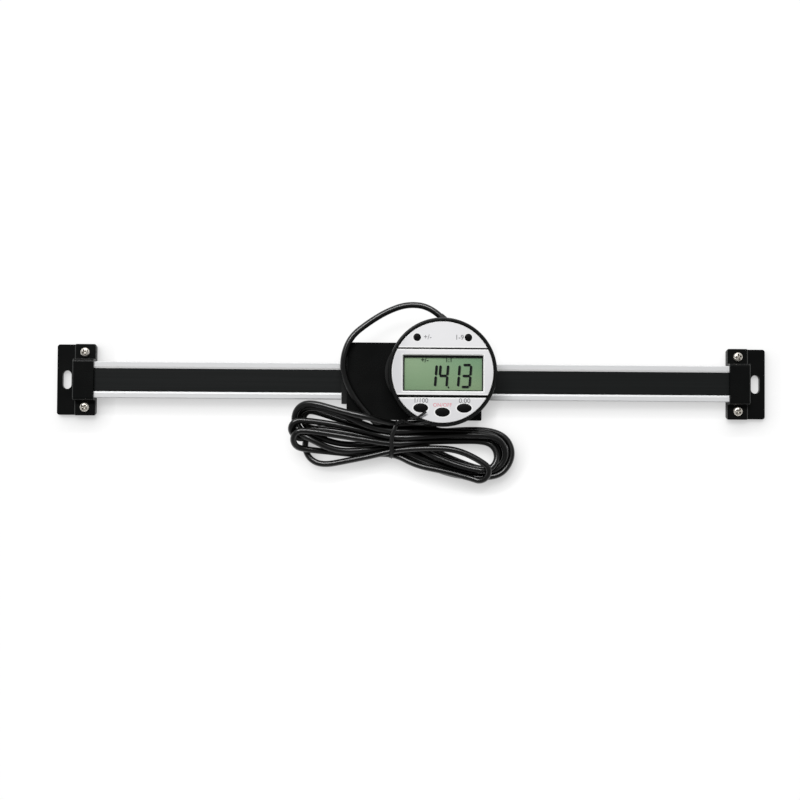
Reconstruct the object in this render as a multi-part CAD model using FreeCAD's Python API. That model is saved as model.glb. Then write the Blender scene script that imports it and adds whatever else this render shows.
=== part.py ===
import FreeCAD, Part
import math
import os

# Linear scale for a machine slide: a beam with a coded magnetic tape, held by a bracket at each end,
# a reader head that slides on the beam, and a round readout that magnets hold on the head's cover.
# Millimetres. The beam runs along X, Z = 0 is the face that the brackets are screwed to,
# and the origin is the middle of the beam.

V = FreeCAD.Vector
os.makedirs("parts", exist_ok=True)

# Beam, tape and cover strip
BEAM_LENGTH = 373.4
BEAM_WIDTH = 20.0
BEAM_HEIGHT = 4.2
BEAM_CHAMFER = 0.4
TAPE_WIDTH = 12.6
TAPE_THICK = 0.7
STRIP_THICK = 0.3
LIP_WIDTH = 1.0
LIP_DROP = 0.5
TAPE_GAP = 0.1

# End brackets
PLATE_WIDTH = 39.0
PLATE_CORNER = 1.5
SLOT_WIDTH = 5.0
SLOT_LENGTH = 10.3
SLOT_TO_END = 5.35
SLOT_TO_STRAP = 4.65
STRAP_LENGTH = 11.4
STRAP_OVERHANG = 0.25
STRAP_THICK = 1.2
STRAP_BEND = 0.4
STRAP_CORNER = 0.9
STRAP_GAP = 0.15
BEAM_INSET = 0.3

# Cross-head screws of the brackets
SCREW_SPACING = 30.4
SCREW_R = 1.5
SCREW_HEAD_R = 2.55
SCREW_HEAD_HEIGHT = 1.9
SCREW_HEAD_EDGE = 1.0
SCREW_CROWN_R = 1.75
SCREW_SHORT = 0.3
CROSS_LENGTH = 3.2
CROSS_WIDTH = 0.8
CROSS_DEPTH = 0.9
THREAD_GAP = 0.05
HOLE_GAP = 0.2

# Reader head
HEAD_X = 0.5
HEAD_LENGTH = 74.0
HEAD_WIDTH = 42.5
HEAD_CORNER = 0.8
FLOOR_GAP = 0.3
BACK_THICK = 1.0
BACK_LEDGE = 3.5
SHOE_THICK = 0.6
SHOE_LENGTH = 20.0
SHOE_LIP = 2.8
RUN_GAP = 0.1
WEB_THICK = 0.8
BOARD_LENGTH = 50.0
BOARD_WIDTH = 26.0
BOARD_THICK = 1.0
BOARD_SPACE = 1.0
BOARD_GAP = 0.2
CHIP_LENGTH = 10.0
CHIP_WIDTH = 6.0
CHIP_GAP = 0.5
SENSOR_GAP = 0.3
COVER_THICK = 1.2
COVER_CHAMFER = 0.25
STANDOFF_R = 2.0
STANDOFF_LENGTH = 4.0
COVER_SCREW_R = 1.25
COVER_SCREW_HEAD_R = 2.25
COVER_SCREW_HEAD = 1.6
COVER_SCREW_INSET = 3.7
COUNTERBORE_SPARE = 0.4
BACK_SCREW_R = 0.9
BACK_SCREW_HEAD_R = 1.6
BACK_SCREW_LENGTH = 4.5
BACK_SCREW_INSET = 6.0
MOUNT_SPACING_X = 54.0
MOUNT_SPACING_Y = 35.0
MOUNT_HOLE_R = 1.25
MOUNT_HOLE_DEPTH = 6.0

# Wiper caps at the ends of the head
CAP_LENGTH = 2.9
CAP_HALF_WIDTH = 12.5
CAP_ROOF = 1.4
CAP_GAP = 0.4
FELT_THICK = 1.2
TAB_WIDTH = 1.0
TAB_HEIGHT = 2.4
TAB_LENGTH = 2.0
TAB_GAP = 0.1

# Bowed leaf spring behind the glide shoes of one side
GIB_POCKET = 0.8
GIB_THICK = 0.25
GIB_HALF_LENGTH = 25.0
GIB_SETBACK = 0.6
GIB_GAP = 0.2

# Cord, and the grommet where it enters the head
CORD_R = 1.7
GLAND_OFFSET = 14.0
GLAND_Z = 5.2
GLAND_ANGLE = 225
GLAND_R = 2.3
GLAND_TIP_R = 2.0
GLAND_REACH = 3.0
GLAND_ROOT = 3.2
WELL_WALL = 2.0
WELL_LENGTH = 8.0

# Round readout: place on the head, case and face
DISPLAY_X = 15.2
DISPLAY_Y = 4.65
DISPLAY_R = 29.25
RIM_WIDTH = 1.95
CASE_WALL = 2.0
RIM_ROUND = 0.9
RIM_PROUD = 0.3
FRONT_THICK = 1.4
PANEL_THICK = 1.2
PANEL_GAP = 0.1
PANEL_EDGE = 0.3
UPPER_SEAM_Y = 12.6
UPPER_SEAM = 0.4
LOWER_SEAM_Y = -12.95
LOWER_SEAM = 1.0
BACK_PLATE_THICK = 2.0
BACK_PLATE_STEP = 0.5
BACK_PLATE_CHAMFER = 0.5
MAGNET_COUNT = 3
MAGNET_R = 5.0
MAGNET_THICK = 1.5
MAGNET_CIRCLE_R = 12.0
MAGNET_GAP = 0.05
BOSS_R = 2.2
BOSS_SINK = 0.6
BOSS_ANGLES = (35, 145, 217, 323)
CASE_SCREW_R = 0.9
CASE_SCREW_HEAD_R = 1.7
CASE_SCREW_LENGTH = 6.0
POST_R = 1.6
POST_PLACES = ((17, 0), (8, 19), (8, -19))
CABLE_EXIT_X = 0.6
CABLE_EXIT_ANGLE = 135
CABLE_COLLAR_R = 2.2
CABLE_COLLAR_TIP_R = 1.95
CABLE_COLLAR_REACH = 2.4
CABLE_COLLAR_ROOT = 3.6

# Window, LCD and electronics of the readout
WINDOW_X = 0.3
WINDOW_Y = -0.6
WINDOW_END_GAP = 6.1
WINDOW_HEIGHT = 18.6
WINDOW_CORNER = 0.5
WINDOW_BEVEL = 0.8
LENS_LAP = 0.8
LENS_THICK = 1.0
LENS_GAP = 0.05
LCD_END_GAP = 4.25
LCD_HEIGHT = 22.0
LCD_THICK = 2.0
CONNECTOR_WIDTH = 2.0
CONNECTOR_HEIGHT = 1.4
CIRCUIT_THICK = 1.2
CIRCUIT_GAP = 0.3

# Coin cell, its drawer and its contact
COIN_R = 10.0
COIN_HEIGHT = 3.2
COIN_EDGE = 0.25
COIN_GAP = 0.15
DRAWER_WALL = 1.0
DRAWER_FLOOR = 0.8
DRAWER_FRONT = 1.6
DRAWER_BULGE = 1.55
DRAWER_RUN_GAP = 0.2
DRAWER_RIM_DROP = 0.3
CONTACT_HEIGHT = 0.6
CONTACT_SHEET = 0.3
CONTACT_WIDTH = 4.0
CONTACT_LENGTH = 12.0
CONTACT_DIMPLE_R = 1.5

# Buttons: the round pair above the window and the oval three below it, set in from the face's top and bottom
ROUND_BUTTON_R = 1.85
ROUND_BUTTON_X = 13.7
ROUND_BUTTON_INSET = 8.8
OVAL_HALF_LENGTH = 3.78
OVAL_HALF_HEIGHT = 2.25
OVAL_SIDE_X = 11.6
OVAL_SIDE_INSET = 8.1
OVAL_MIDDLE_INSET = 5.9
BUTTON_PROUD = 0.8
BUTTON_TRAVEL = 0.6
BUTTON_EDGE = 0.35
BUTTON_GAP = 0.2
FLANGE_LAP = 0.6
FLANGE_THICK = 0.7
FLANGE_GAP = 0.05
SWITCH_R = 1.6

# Cord: free stretch from the readout over the head's corner to the hank
LEAD_ROUTE = (
    (13.7, 35.85, 15.4), (8.3, 40.5, 14.8), (-3.0, 42.2, 13.2), (-14.0, 38.6, 12.2),
    (-24.8, 31.9, 12.6), (-34.2, 24.2, 14.3), (-38.9, 13.8, 14.8), (-38.3, 4.2, 14.0),
    (-34.2, -5.6, 13.3), (-28.6, -13.6, 13.1), (-23.0, -19.4, 12.9),
)
ARC_SHARE = 0.45

# Cord: outline of the tied hank, each point with its corner radius
HANK_OUTLINE = (
    (-56.0, -11.0, 9), (-69.5, -15.0, 7), (-69.5, -36.0, 8), (-61.5, -38.5, 3), (-60.5, -48.5, 9),
    (-40.0, -48.5, 20), (-10.6, -42.0, 30), (30.0, -57.0, 9), (47.0, -56.5, 6), (58.5, -47.0, 9),
    (53.0, -30.0, 12), (32.0, -24.0, 20), (-10.6, -22.6, 12), (-38.0, -14.0, 12),
)
HANK_BOTTOM = 0.3
HANK_TOP = 10.0
SADDLE_OUTLINE = (
    (-47.0, -12.2, 3), (-37.0, -13.0, 3), (-14.5, -20.0, 4), (-12.6, -29.0, 3),
    (-24.0, -25.5, 4), (-48.0, -18.0, 3),
)
SADDLE_TOP = 17.0
HANK_GAP = 0.4
TIE_X = -10.6
TIE_WIDTH = 3.0
TIE_THICK = 0.7
TIE_CORNER = 2.5
TIE_Y = (-41.4, -22.3)
TIE_Z = (0.9, 10.7)
KNOT_LENGTH = 5.0
KNOT_R = 1.3

# Heights of the rail and the head, from the mounting face up
BEAM_BOTTOM = FLOOR_GAP + BACK_THICK + SHOE_THICK + RUN_GAP
BEAM_TOP = BEAM_BOTTOM + BEAM_HEIGHT
PLATE_THICK = BEAM_BOTTOM
STRAP_WIDTH = PLATE_WIDTH + 2 * STRAP_OVERHANG
BACK_TOP = FLOOR_GAP + BACK_THICK
CHANNEL_TOP = BEAM_TOP + RUN_GAP + SHOE_THICK
CHANNEL_HALF = BEAM_WIDTH / 2 + RUN_GAP + SHOE_THICK
POCKET_FLOOR = CHANNEL_TOP + WEB_THICK
COVER_BOTTOM = POCKET_FLOOR + BOARD_THICK + BOARD_SPACE
HEAD_TOP = COVER_BOTTOM + COVER_THICK
HEAD_LEFT = HEAD_X - HEAD_LENGTH / 2
HEAD_RIGHT = HEAD_X + HEAD_LENGTH / 2

# Heights of the readout, from the head's cover up
CASE_BOTTOM = HEAD_TOP + BACK_PLATE_THICK
DRAWER_BOTTOM = CASE_BOTTOM + DRAWER_RUN_GAP
COIN_BOTTOM = DRAWER_BOTTOM + DRAWER_FLOOR
COIN_TOP = COIN_BOTTOM + COIN_HEIGHT
CIRCUIT_BOTTOM = COIN_TOP + DRAWER_RUN_GAP + CONTACT_HEIGHT
CIRCUIT_TOP = CIRCUIT_BOTTOM + CIRCUIT_THICK
LCD_BOTTOM = CIRCUIT_TOP + CONNECTOR_HEIGHT
FRONT_BOTTOM = LCD_BOTTOM + LCD_THICK
FRONT_TOP = FRONT_BOTTOM + FRONT_THICK
PANEL_TOP = FRONT_TOP + PANEL_THICK
RIM_TOP = PANEL_TOP + RIM_PROUD

# Face, window and buttons of the readout, from the case's edge inwards
CAVITY_R = DISPLAY_R - CASE_WALL
FACE_R = DISPLAY_R - RIM_WIDTH
WINDOW_LENGTH = 2 * (FACE_R - WINDOW_END_GAP)
LCD_LENGTH = 2 * (CAVITY_R - LCD_END_GAP)
ROUND_BUTTON_Y = FACE_R - ROUND_BUTTON_INSET
OVAL_SIDE_Y = OVAL_SIDE_INSET - FACE_R
OVAL_MIDDLE_Y = OVAL_MIDDLE_INSET - FACE_R
DRAWER_HALF = COIN_R + COIN_GAP + DRAWER_WALL
BEYOND = 1.0


def save(name, shape):
    """Writes one node; a group of like pieces stays a compound of separate solids."""
    solids = shape.Solids
    result = solids[0] if len(solids) == 1 else Part.makeCompound(solids)
    result.exportStep("parts/" + name + ".step")


def box(x0, x1, y0, y1, z0, z1):
    """Block between two corners."""
    return Part.makeBox(x1 - x0, y1 - y0, z1 - z0, V(x0, y0, z0))


def rod(radius, x, y, z0, z1):
    """Upright cylinder."""
    return Part.makeCylinder(radius, z1 - z0, V(x, y, z0))


def cone(r0, r1, x, y, z0, z1):
    """Upright cone from radius r0 at z0 to radius r1 at z1."""
    return Part.makeCone(r0, r1, z1 - z0, V(x, y, z0))


def rounded_path(points, radii, closed):
    """Wire of straight runs joined by tangent arcs, one radius for each corner."""
    count = len(points)
    entry = list(points)
    leave = list(points)
    arcs = [None] * count
    corners = range(count) if closed else range(1, count - 1)
    for i in corners:
        if radii[i] == 0:
            continue
        before = (points[i - 1] - points[i]).normalize()
        after = (points[(i + 1) % count] - points[i]).normalize()
        half_turn = (math.pi - before.getAngle(after)) / 2
        reach = radii[i] * math.tan(half_turn)
        depth = radii[i] / math.cos(half_turn) - radii[i]
        entry[i] = points[i] + before * reach
        leave[i] = points[i] + after * reach
        middle = points[i] + (before + after).normalize() * depth
        arcs[i] = Part.Arc(entry[i], middle, leave[i]).toShape()
    edges = []
    for i in range(count):
        if arcs[i]:
            edges.append(arcs[i])
        if closed or i < count - 1:
            edges.append(Part.LineSegment(leave[i], entry[(i + 1) % count]).toShape())
    return Part.Wire(edges)


def outline_prism(corners, z0, z1):
    """Upright prism on an outline of (x, y, corner radius)."""
    points = [V(x, y, z0) for x, y, _ in corners]
    wire = rounded_path(points, [radius for _, _, radius in corners], True)
    return Part.Face(wire).extrude(V(0, 0, z1 - z0))


def rounded_plate(x0, x1, y0, y1, z0, z1, radius):
    """Plate with four round corners."""
    return outline_prism([(x0, y0, radius), (x1, y0, radius), (x1, y1, radius), (x0, y1, radius)], z0, z1)


def section_bar(profile, x0, x1):
    """Bar along X with a section given as (y, z, corner radius)."""
    points = [V(x0, y, z) for y, z, _ in profile]
    wire = rounded_path(points, [radius for _, _, radius in profile], True)
    return Part.Face(wire).extrude(V(x1 - x0, 0, 0))


def oval_prism(half_length, half_height, x, y, z0, z1):
    """Upright elliptic prism, long along X."""
    curve = Part.Ellipse(V(x, y, z0), half_length, half_height)
    return Part.Face(Part.Wire(curve.toShape())).extrude(V(0, 0, z1 - z0))


def edges_at(shape, z):
    """Edges that lie at one height."""
    return [e for e in shape.Edges if abs(e.BoundBox.ZMin - z) < 1e-6 and abs(e.BoundBox.ZMax - z) < 1e-6]


def top_face(shape):
    """Largest of the faces that lie at the shape's highest level."""
    top = shape.BoundBox.ZMax
    return max([f for f in shape.Faces if abs(f.BoundBox.ZMin - top) < 1e-6], key=lambda f: f.Area)


def heading(angle):
    """Level direction at an angle from the beam, in degrees."""
    return V(math.cos(math.radians(angle)), math.sin(math.radians(angle)), 0)


def grommet(point, direction, radius, tip_radius, root, reach):
    """Plug that sits in a wall as far as its root, with a taper that reaches out from the point."""
    return fuse_all([Part.makeCylinder(radius, root, point - direction * root, direction),
                     Part.makeCone(radius, tip_radius, reach, point, direction)])


def fuse_all(shapes):
    """One solid from pieces that touch."""
    first, rest = shapes[0], shapes[1:]
    return first.fuse(rest).removeSplitter() if rest else first


def at_display(shape):
    """Moves a piece built about the readout's axis to the readout's place on the head."""
    return shape.translated(V(DISPLAY_X, DISPLAY_Y, 0))


# Beam: extruded section with a bevelled recess for the tape
RECESS_HALF = TAPE_WIDTH / 2 + TAPE_GAP
TAPE_BOTTOM = BEAM_TOP - LIP_DROP - STRIP_THICK - TAPE_THICK
STRIP_BOTTOM = TAPE_BOTTOM + TAPE_THICK
beam_half = BEAM_WIDTH / 2
beam_right = [
    (beam_half - BEAM_CHAMFER, BEAM_BOTTOM, 0), (beam_half, BEAM_BOTTOM + BEAM_CHAMFER, 0),
    (beam_half, BEAM_TOP - BEAM_CHAMFER, 0), (beam_half - BEAM_CHAMFER, BEAM_TOP, 0),
    (RECESS_HALF + LIP_WIDTH, BEAM_TOP, 0), (RECESS_HALF, BEAM_TOP - LIP_DROP, 0),
    (RECESS_HALF, TAPE_BOTTOM, 0),
]
beam_left = [(-y, z, r) for y, z, r in reversed(beam_right)]
save("rail_beam", section_bar(beam_right + beam_left, -BEAM_LENGTH / 2, BEAM_LENGTH / 2))
tape_half = TAPE_WIDTH / 2
save("magnetic_tape", box(-BEAM_LENGTH / 2, BEAM_LENGTH / 2, -tape_half, tape_half,
                          TAPE_BOTTOM, STRIP_BOTTOM))
save("tape_cover", box(-BEAM_LENGTH / 2, BEAM_LENGTH / 2, -tape_half, tape_half,
                       STRIP_BOTTOM, STRIP_BOTTOM + STRIP_THICK))


def pan_screw(x, y, seat, end, turn):
    """Cross-head screw with its head above the seat and its shank down to the end."""
    top = seat + SCREW_HEAD_HEIGHT
    shoulder = seat + SCREW_HEAD_EDGE
    head = fuse_all([rod(SCREW_HEAD_R, x, y, seat, shoulder),
                     cone(SCREW_HEAD_R, SCREW_CROWN_R, x, y, shoulder, top)])
    for angle in (turn, turn + 90):
        slit = box(x - CROSS_LENGTH / 2, x + CROSS_LENGTH / 2, y - CROSS_WIDTH / 2, y + CROSS_WIDTH / 2,
                   top - CROSS_DEPTH, top + BEYOND)
        slit.rotate(V(x, y, 0), V(0, 0, 1), angle)
        head = head.cut(slit)
    return fuse_all([head, rod(SCREW_R, x, y, end, seat)])


def bracket(name, side, turns):
    """End bracket: slotted plate, hat-shaped strap over the beam, and two screws."""
    strap_outer = BEAM_LENGTH / 2 + BEAM_INSET
    strap_inner = strap_outer - STRAP_LENGTH
    slot_x = strap_outer + SLOT_TO_STRAP
    screw_x = (strap_outer + strap_inner) / 2
    tab_top = PLATE_THICK + STRAP_THICK
    plate = rounded_plate(strap_inner, slot_x + SLOT_TO_END, -PLATE_WIDTH / 2, PLATE_WIDTH / 2,
                          0, PLATE_THICK, PLATE_CORNER)
    slot_run = (SLOT_LENGTH - SLOT_WIDTH) / 2
    slot_half = SLOT_WIDTH / 2
    slot = fuse_all([box(slot_x - slot_half, slot_x + slot_half, -slot_run, slot_run,
                         -BEYOND, PLATE_THICK + BEYOND),
                     rod(slot_half, slot_x, -slot_run, -BEYOND, PLATE_THICK + BEYOND),
                     rod(slot_half, slot_x, slot_run, -BEYOND, PLATE_THICK + BEYOND)])
    plate = plate.cut(slot)
    inner = BEAM_WIDTH / 2 + STRAP_GAP
    outer = inner + STRAP_THICK
    bend = STRAP_BEND + STRAP_THICK
    hat_right = [
        (inner, PLATE_THICK, bend), (STRAP_WIDTH / 2, PLATE_THICK, 0), (STRAP_WIDTH / 2, tab_top, 0),
        (outer, tab_top, STRAP_BEND), (outer, BEAM_TOP + STRAP_THICK, bend),
    ]
    hat_left = [(-y, z, r) for y, z, r in reversed(hat_right)]
    hollow = [(-inner, BEAM_TOP, STRAP_BEND), (inner, BEAM_TOP, STRAP_BEND)]
    strap = section_bar(hat_right + hat_left + hollow, strap_inner, strap_outer)
    strap = strap.common(rounded_plate(strap_inner, strap_outer, -STRAP_WIDTH / 2, STRAP_WIDTH / 2,
                                       0, BEAM_TOP + STRAP_THICK + BEYOND, STRAP_CORNER))
    screws = []
    for y, turn in zip((SCREW_SPACING / 2, -SCREW_SPACING / 2), turns):
        plate = plate.cut(rod(SCREW_R + THREAD_GAP, screw_x, y, -BEYOND, PLATE_THICK + BEYOND))
        strap = strap.cut(rod(SCREW_R + HOLE_GAP, screw_x, y, -BEYOND, tab_top + BEYOND))
        screws.append(pan_screw(screw_x, y, tab_top, SCREW_SHORT, turn))
    pieces = {"base": plate, "strap": strap, "screws": Part.makeCompound(screws)}
    for piece, shape in pieces.items():
        if side < 0:
            shape = shape.mirror(V(0, 0, 0), V(1, 0, 0))
        save(name + "_bracket_" + piece, shape)


bracket("left", -1, (25, 62))
bracket("right", 1, (12, 48))

# Reader head: places that the housing shares with the pieces fixed to it
CORNERS = [(sx, sy) for sx in (-1, 1) for sy in (-1, 1)]
cover_screws = [(HEAD_X + sx * (HEAD_LENGTH / 2 - COVER_SCREW_INSET),
                 sy * (HEAD_WIDTH / 2 - COVER_SCREW_INSET))
                for sx, sy in CORNERS]
back_screws = [(HEAD_X + sx * (HEAD_LENGTH / 2 - BACK_SCREW_INSET), sy * (CHANNEL_HALF + BACK_LEDGE / 2))
               for sx, sy in CORNERS]
mount_holes = [(HEAD_X + sx * MOUNT_SPACING_X / 2, sy * MOUNT_SPACING_Y / 2) for sx, sy in CORNERS]
tab_y = (CHANNEL_HALF + CAP_HALF_WIDTH) / 2
tab_z = BEAM_BOTTOM + BEAM_HEIGHT / 2
back_half = CHANNEL_HALF + BACK_LEDGE
seat_z = FLOOR_GAP + COUNTERBORE_SPARE + COVER_SCREW_HEAD
standoff_end = COVER_BOTTOM - STANDOFF_LENGTH
gland_x = HEAD_X + GLAND_OFFSET
head_side = HEAD_WIDTH / 2
gland_point = V(gland_x, -head_side, GLAND_Z)
gland_dir = heading(GLAND_ANGLE)
gland_span = GLAND_ROOT + GLAND_REACH
well_outer = head_side - WELL_WALL
gib_y = -(CHANNEL_HALF + GIB_POCKET)
gib_bottom = BEAM_BOTTOM + GIB_SETBACK
gib_top = BEAM_TOP - GIB_SETBACK


def cap_tabs(side, grow):
    """Two tabs that hold a wiper cap in the housing's end, or with some growth the pockets for them."""
    end = HEAD_X + side * HEAD_LENGTH / 2
    tip = end - side * (TAB_LENGTH + grow)
    half_width = TAB_WIDTH / 2 + grow
    half_height = TAB_HEIGHT / 2 + grow
    return [box(min(end, tip), max(end, tip), y - half_width, y + half_width,
                tab_z - half_height, tab_z + half_height)
            for y in (-tab_y, tab_y)]


# Housing: block with the beam's channel, the board's pocket, the sensor window and the cord's well
housing = rounded_plate(HEAD_LEFT, HEAD_RIGHT, -head_side, head_side, FLOOR_GAP, COVER_BOTTOM, HEAD_CORNER)
cuts = [
    box(HEAD_LEFT - BEYOND, HEAD_RIGHT + BEYOND, -CHANNEL_HALF, CHANNEL_HALF,
        FLOOR_GAP - BEYOND, CHANNEL_TOP),
    box(HEAD_LEFT - BEYOND, HEAD_RIGHT + BEYOND, -back_half, back_half, FLOOR_GAP - BEYOND, BACK_TOP),
    box(HEAD_X - BOARD_LENGTH / 2 - BOARD_GAP, HEAD_X + BOARD_LENGTH / 2 + BOARD_GAP,
        -BOARD_WIDTH / 2 - BOARD_GAP, BOARD_WIDTH / 2 + BOARD_GAP, POCKET_FLOOR, COVER_BOTTOM + BEYOND),
    box(HEAD_X - CHIP_LENGTH / 2 - CHIP_GAP, HEAD_X + CHIP_LENGTH / 2 + CHIP_GAP,
        -CHIP_WIDTH / 2 - CHIP_GAP, CHIP_WIDTH / 2 + CHIP_GAP, CHANNEL_TOP - BEYOND, POCKET_FLOOR + BEYOND),
    box(gland_x - WELL_LENGTH / 2, gland_x + WELL_LENGTH / 2, -well_outer, -BOARD_WIDTH / 2,
        GLAND_Z - GLAND_R, COVER_BOTTOM + BEYOND),
    Part.makeCylinder(GLAND_R, gland_span, gland_point - gland_dir * GLAND_ROOT, gland_dir),
    box(HEAD_X - GIB_HALF_LENGTH - BEYOND, HEAD_X + GIB_HALF_LENGTH + BEYOND, gib_y, -CHANNEL_HALF + BEYOND,
        gib_bottom - GIB_GAP, gib_top + GIB_GAP),
]
for x, y in cover_screws:
    cuts.append(rod(COVER_SCREW_HEAD_R + HOLE_GAP, x, y, FLOOR_GAP - BEYOND, seat_z))
    cuts.append(rod(COVER_SCREW_R + HOLE_GAP, x, y, FLOOR_GAP, COVER_BOTTOM))
    cuts.append(rod(STANDOFF_R + TAB_GAP, x, y, standoff_end, COVER_BOTTOM + BEYOND))
for x, y in back_screws:
    cuts.append(rod(BACK_SCREW_R + THREAD_GAP, x, y, FLOOR_GAP, FLOOR_GAP + BACK_SCREW_LENGTH + TAB_GAP))
for x, y in mount_holes:
    cuts.append(rod(MOUNT_HOLE_R, x, y, FLOOR_GAP - BEYOND, FLOOR_GAP + MOUNT_HOLE_DEPTH))
for side in (-1, 1):
    cuts.extend(cap_tabs(side, TAB_GAP))
save("head_housing", housing.cut(cuts))

# Cover: steel plate with four pressed-in standoffs, each tapped from below
cover = rounded_plate(HEAD_LEFT, HEAD_RIGHT, -head_side, head_side, COVER_BOTTOM, HEAD_TOP, HEAD_CORNER)
cover = cover.makeChamfer(COVER_CHAMFER, edges_at(cover, HEAD_TOP))
cover = fuse_all([cover] + [rod(STANDOFF_R, x, y, standoff_end, COVER_BOTTOM) for x, y in cover_screws])
save("head_cover", cover.cut([rod(COVER_SCREW_R + THREAD_GAP, x, y, standoff_end, COVER_BOTTOM)
                              for x, y in cover_screws]))
save("cover_screws", Part.makeCompound([
    fuse_all([rod(COVER_SCREW_HEAD_R, x, y, seat_z - COVER_SCREW_HEAD, seat_z),
              rod(COVER_SCREW_R, x, y, seat_z, COVER_BOTTOM - COUNTERBORE_SPARE)]) for x, y in cover_screws]))

# Back plate: closes the channel under the beam, with countersunk screws
back = box(HEAD_LEFT, HEAD_RIGHT, -back_half, back_half, FLOOR_GAP, BACK_TOP)
sink_depth = BACK_SCREW_HEAD_R - BACK_SCREW_R
for x, y in back_screws:
    back = back.cut(rod(BACK_SCREW_R + HOLE_GAP, x, y, FLOOR_GAP - BEYOND, BACK_TOP + BEYOND))
    back = back.cut(cone(BACK_SCREW_HEAD_R, BACK_SCREW_R, x, y, FLOOR_GAP, FLOOR_GAP + sink_depth))
save("head_back_plate", back)
save("back_plate_screws", Part.makeCompound([
    fuse_all([cone(BACK_SCREW_HEAD_R, BACK_SCREW_R, x, y, FLOOR_GAP, FLOOR_GAP + sink_depth),
              rod(BACK_SCREW_R, x, y, FLOOR_GAP + sink_depth, FLOOR_GAP + BACK_SCREW_LENGTH)])
    for x, y in back_screws]))

# Wiper caps and felts: frames round the beam at the head's ends
felts = []
for name, side in (("left", -1), ("right", 1)):
    end = HEAD_X + side * HEAD_LENGTH / 2
    tip = end + side * CAP_LENGTH
    felt_end = end + side * FELT_THICK
    opening = BEAM_WIDTH / 2 + CAP_GAP
    felt_hole = BEAM_WIDTH / 2 + RUN_GAP
    cap = box(min(end, tip), max(end, tip), -CAP_HALF_WIDTH, CAP_HALF_WIDTH,
              FLOOR_GAP, CHANNEL_TOP + CAP_ROOF)
    cap = cap.cut(box(min(end, tip) - BEYOND, max(end, tip) + BEYOND, -opening, opening,
                      BEAM_BOTTOM - CAP_GAP, BEAM_TOP + CAP_GAP))
    felt = box(min(end, felt_end), max(end, felt_end), -CHANNEL_HALF, CHANNEL_HALF, BACK_TOP, CHANNEL_TOP)
    cap = cap.cut(felt)
    felts.append(felt.cut(box(min(end, tip) - BEYOND, max(end, tip) + BEYOND, -felt_hole, felt_hole,
                              BEAM_BOTTOM - RUN_GAP, BEAM_TOP + RUN_GAP)))
    save(name + "_wiper_cap", fuse_all([cap] + cap_tabs(side, 0)))
save("wiper_felts", Part.makeCompound(felts))

# Glide shoes: C-shaped liners on the beam's two edges, at both ends of the channel
shoe_root = CHANNEL_HALF - SHOE_LIP
shoe_face = BEAM_WIDTH / 2 + RUN_GAP
shoe = [
    (CHANNEL_HALF, BACK_TOP, 0), (CHANNEL_HALF, CHANNEL_TOP, 0), (shoe_root, CHANNEL_TOP, 0),
    (shoe_root, BEAM_TOP + RUN_GAP, 0), (shoe_face, BEAM_TOP + RUN_GAP, 0),
    (shoe_face, BEAM_BOTTOM - RUN_GAP, 0), (shoe_root, BEAM_BOTTOM - RUN_GAP, 0), (shoe_root, BACK_TOP, 0),
]
for name, side in (("fixed", 1), ("sprung", -1)):
    profile = [(side * y, z, r) for y, z, r in shoe]
    save(name + "_glide_shoes", Part.makeCompound([
        section_bar(profile, HEAD_LEFT, HEAD_LEFT + SHOE_LENGTH),
        section_bar(profile, HEAD_RIGHT - SHOE_LENGTH, HEAD_RIGHT)]))

# Gib spring: bowed strip whose ends press on the sprung shoes and whose middle bears on the housing
bow = GIB_POCKET - GIB_THICK
bow_r = (GIB_HALF_LENGTH ** 2 + bow ** 2) / (2 * bow)
bow_centre = V(HEAD_X, gib_y + GIB_THICK + bow_r, gib_bottom)
tips = [V(HEAD_X + side * GIB_HALF_LENGTH, -CHANNEL_HALF, gib_bottom) for side in (-1, 1)]
heels = [bow_centre + (tip - bow_centre) * ((bow_r + GIB_THICK) / bow_r) for tip in tips]
gib_wire = Part.Wire([
    Part.Arc(tips[0], V(HEAD_X, gib_y + GIB_THICK, gib_bottom), tips[1]).toShape(),
    Part.LineSegment(tips[1], heels[1]).toShape(),
    Part.Arc(heels[1], V(HEAD_X, gib_y, gib_bottom), heels[0]).toShape(),
    Part.LineSegment(heels[0], tips[0]).toShape()])
save("gib_spring", Part.Face(gib_wire).extrude(V(0, 0, gib_top - gib_bottom)))

# Sensor board in the pocket, and the chip that looks at the tape through the window
save("sensor_board", box(HEAD_X - BOARD_LENGTH / 2, HEAD_X + BOARD_LENGTH / 2,
                         -BOARD_WIDTH / 2, BOARD_WIDTH / 2,
                         POCKET_FLOOR, POCKET_FLOOR + BOARD_THICK))
save("sensor_chip", box(HEAD_X - CHIP_LENGTH / 2, HEAD_X + CHIP_LENGTH / 2, -CHIP_WIDTH / 2, CHIP_WIDTH / 2,
                        BEAM_TOP + SENSOR_GAP, POCKET_FLOOR))

# Grommet of the cord in the head's side, turned so that the cord leaves along the side
save("head_gland", grommet(gland_point, gland_dir, GLAND_R, GLAND_TIP_R, GLAND_ROOT, GLAND_REACH))

# Readout: buttons as (name, x, y, half length, half height)
BUTTONS = (
    ("mode_button", -ROUND_BUTTON_X, ROUND_BUTTON_Y, ROUND_BUTTON_R, ROUND_BUTTON_R),
    ("set_button", ROUND_BUTTON_X, ROUND_BUTTON_Y, ROUND_BUTTON_R, ROUND_BUTTON_R),
    ("units_button", -OVAL_SIDE_X, OVAL_SIDE_Y, OVAL_HALF_LENGTH, OVAL_HALF_HEIGHT),
    ("power_button", 0, OVAL_MIDDLE_Y, OVAL_HALF_LENGTH, OVAL_HALF_HEIGHT),
    ("zero_button", OVAL_SIDE_X, OVAL_SIDE_Y, OVAL_HALF_LENGTH, OVAL_HALF_HEIGHT),
)


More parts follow.
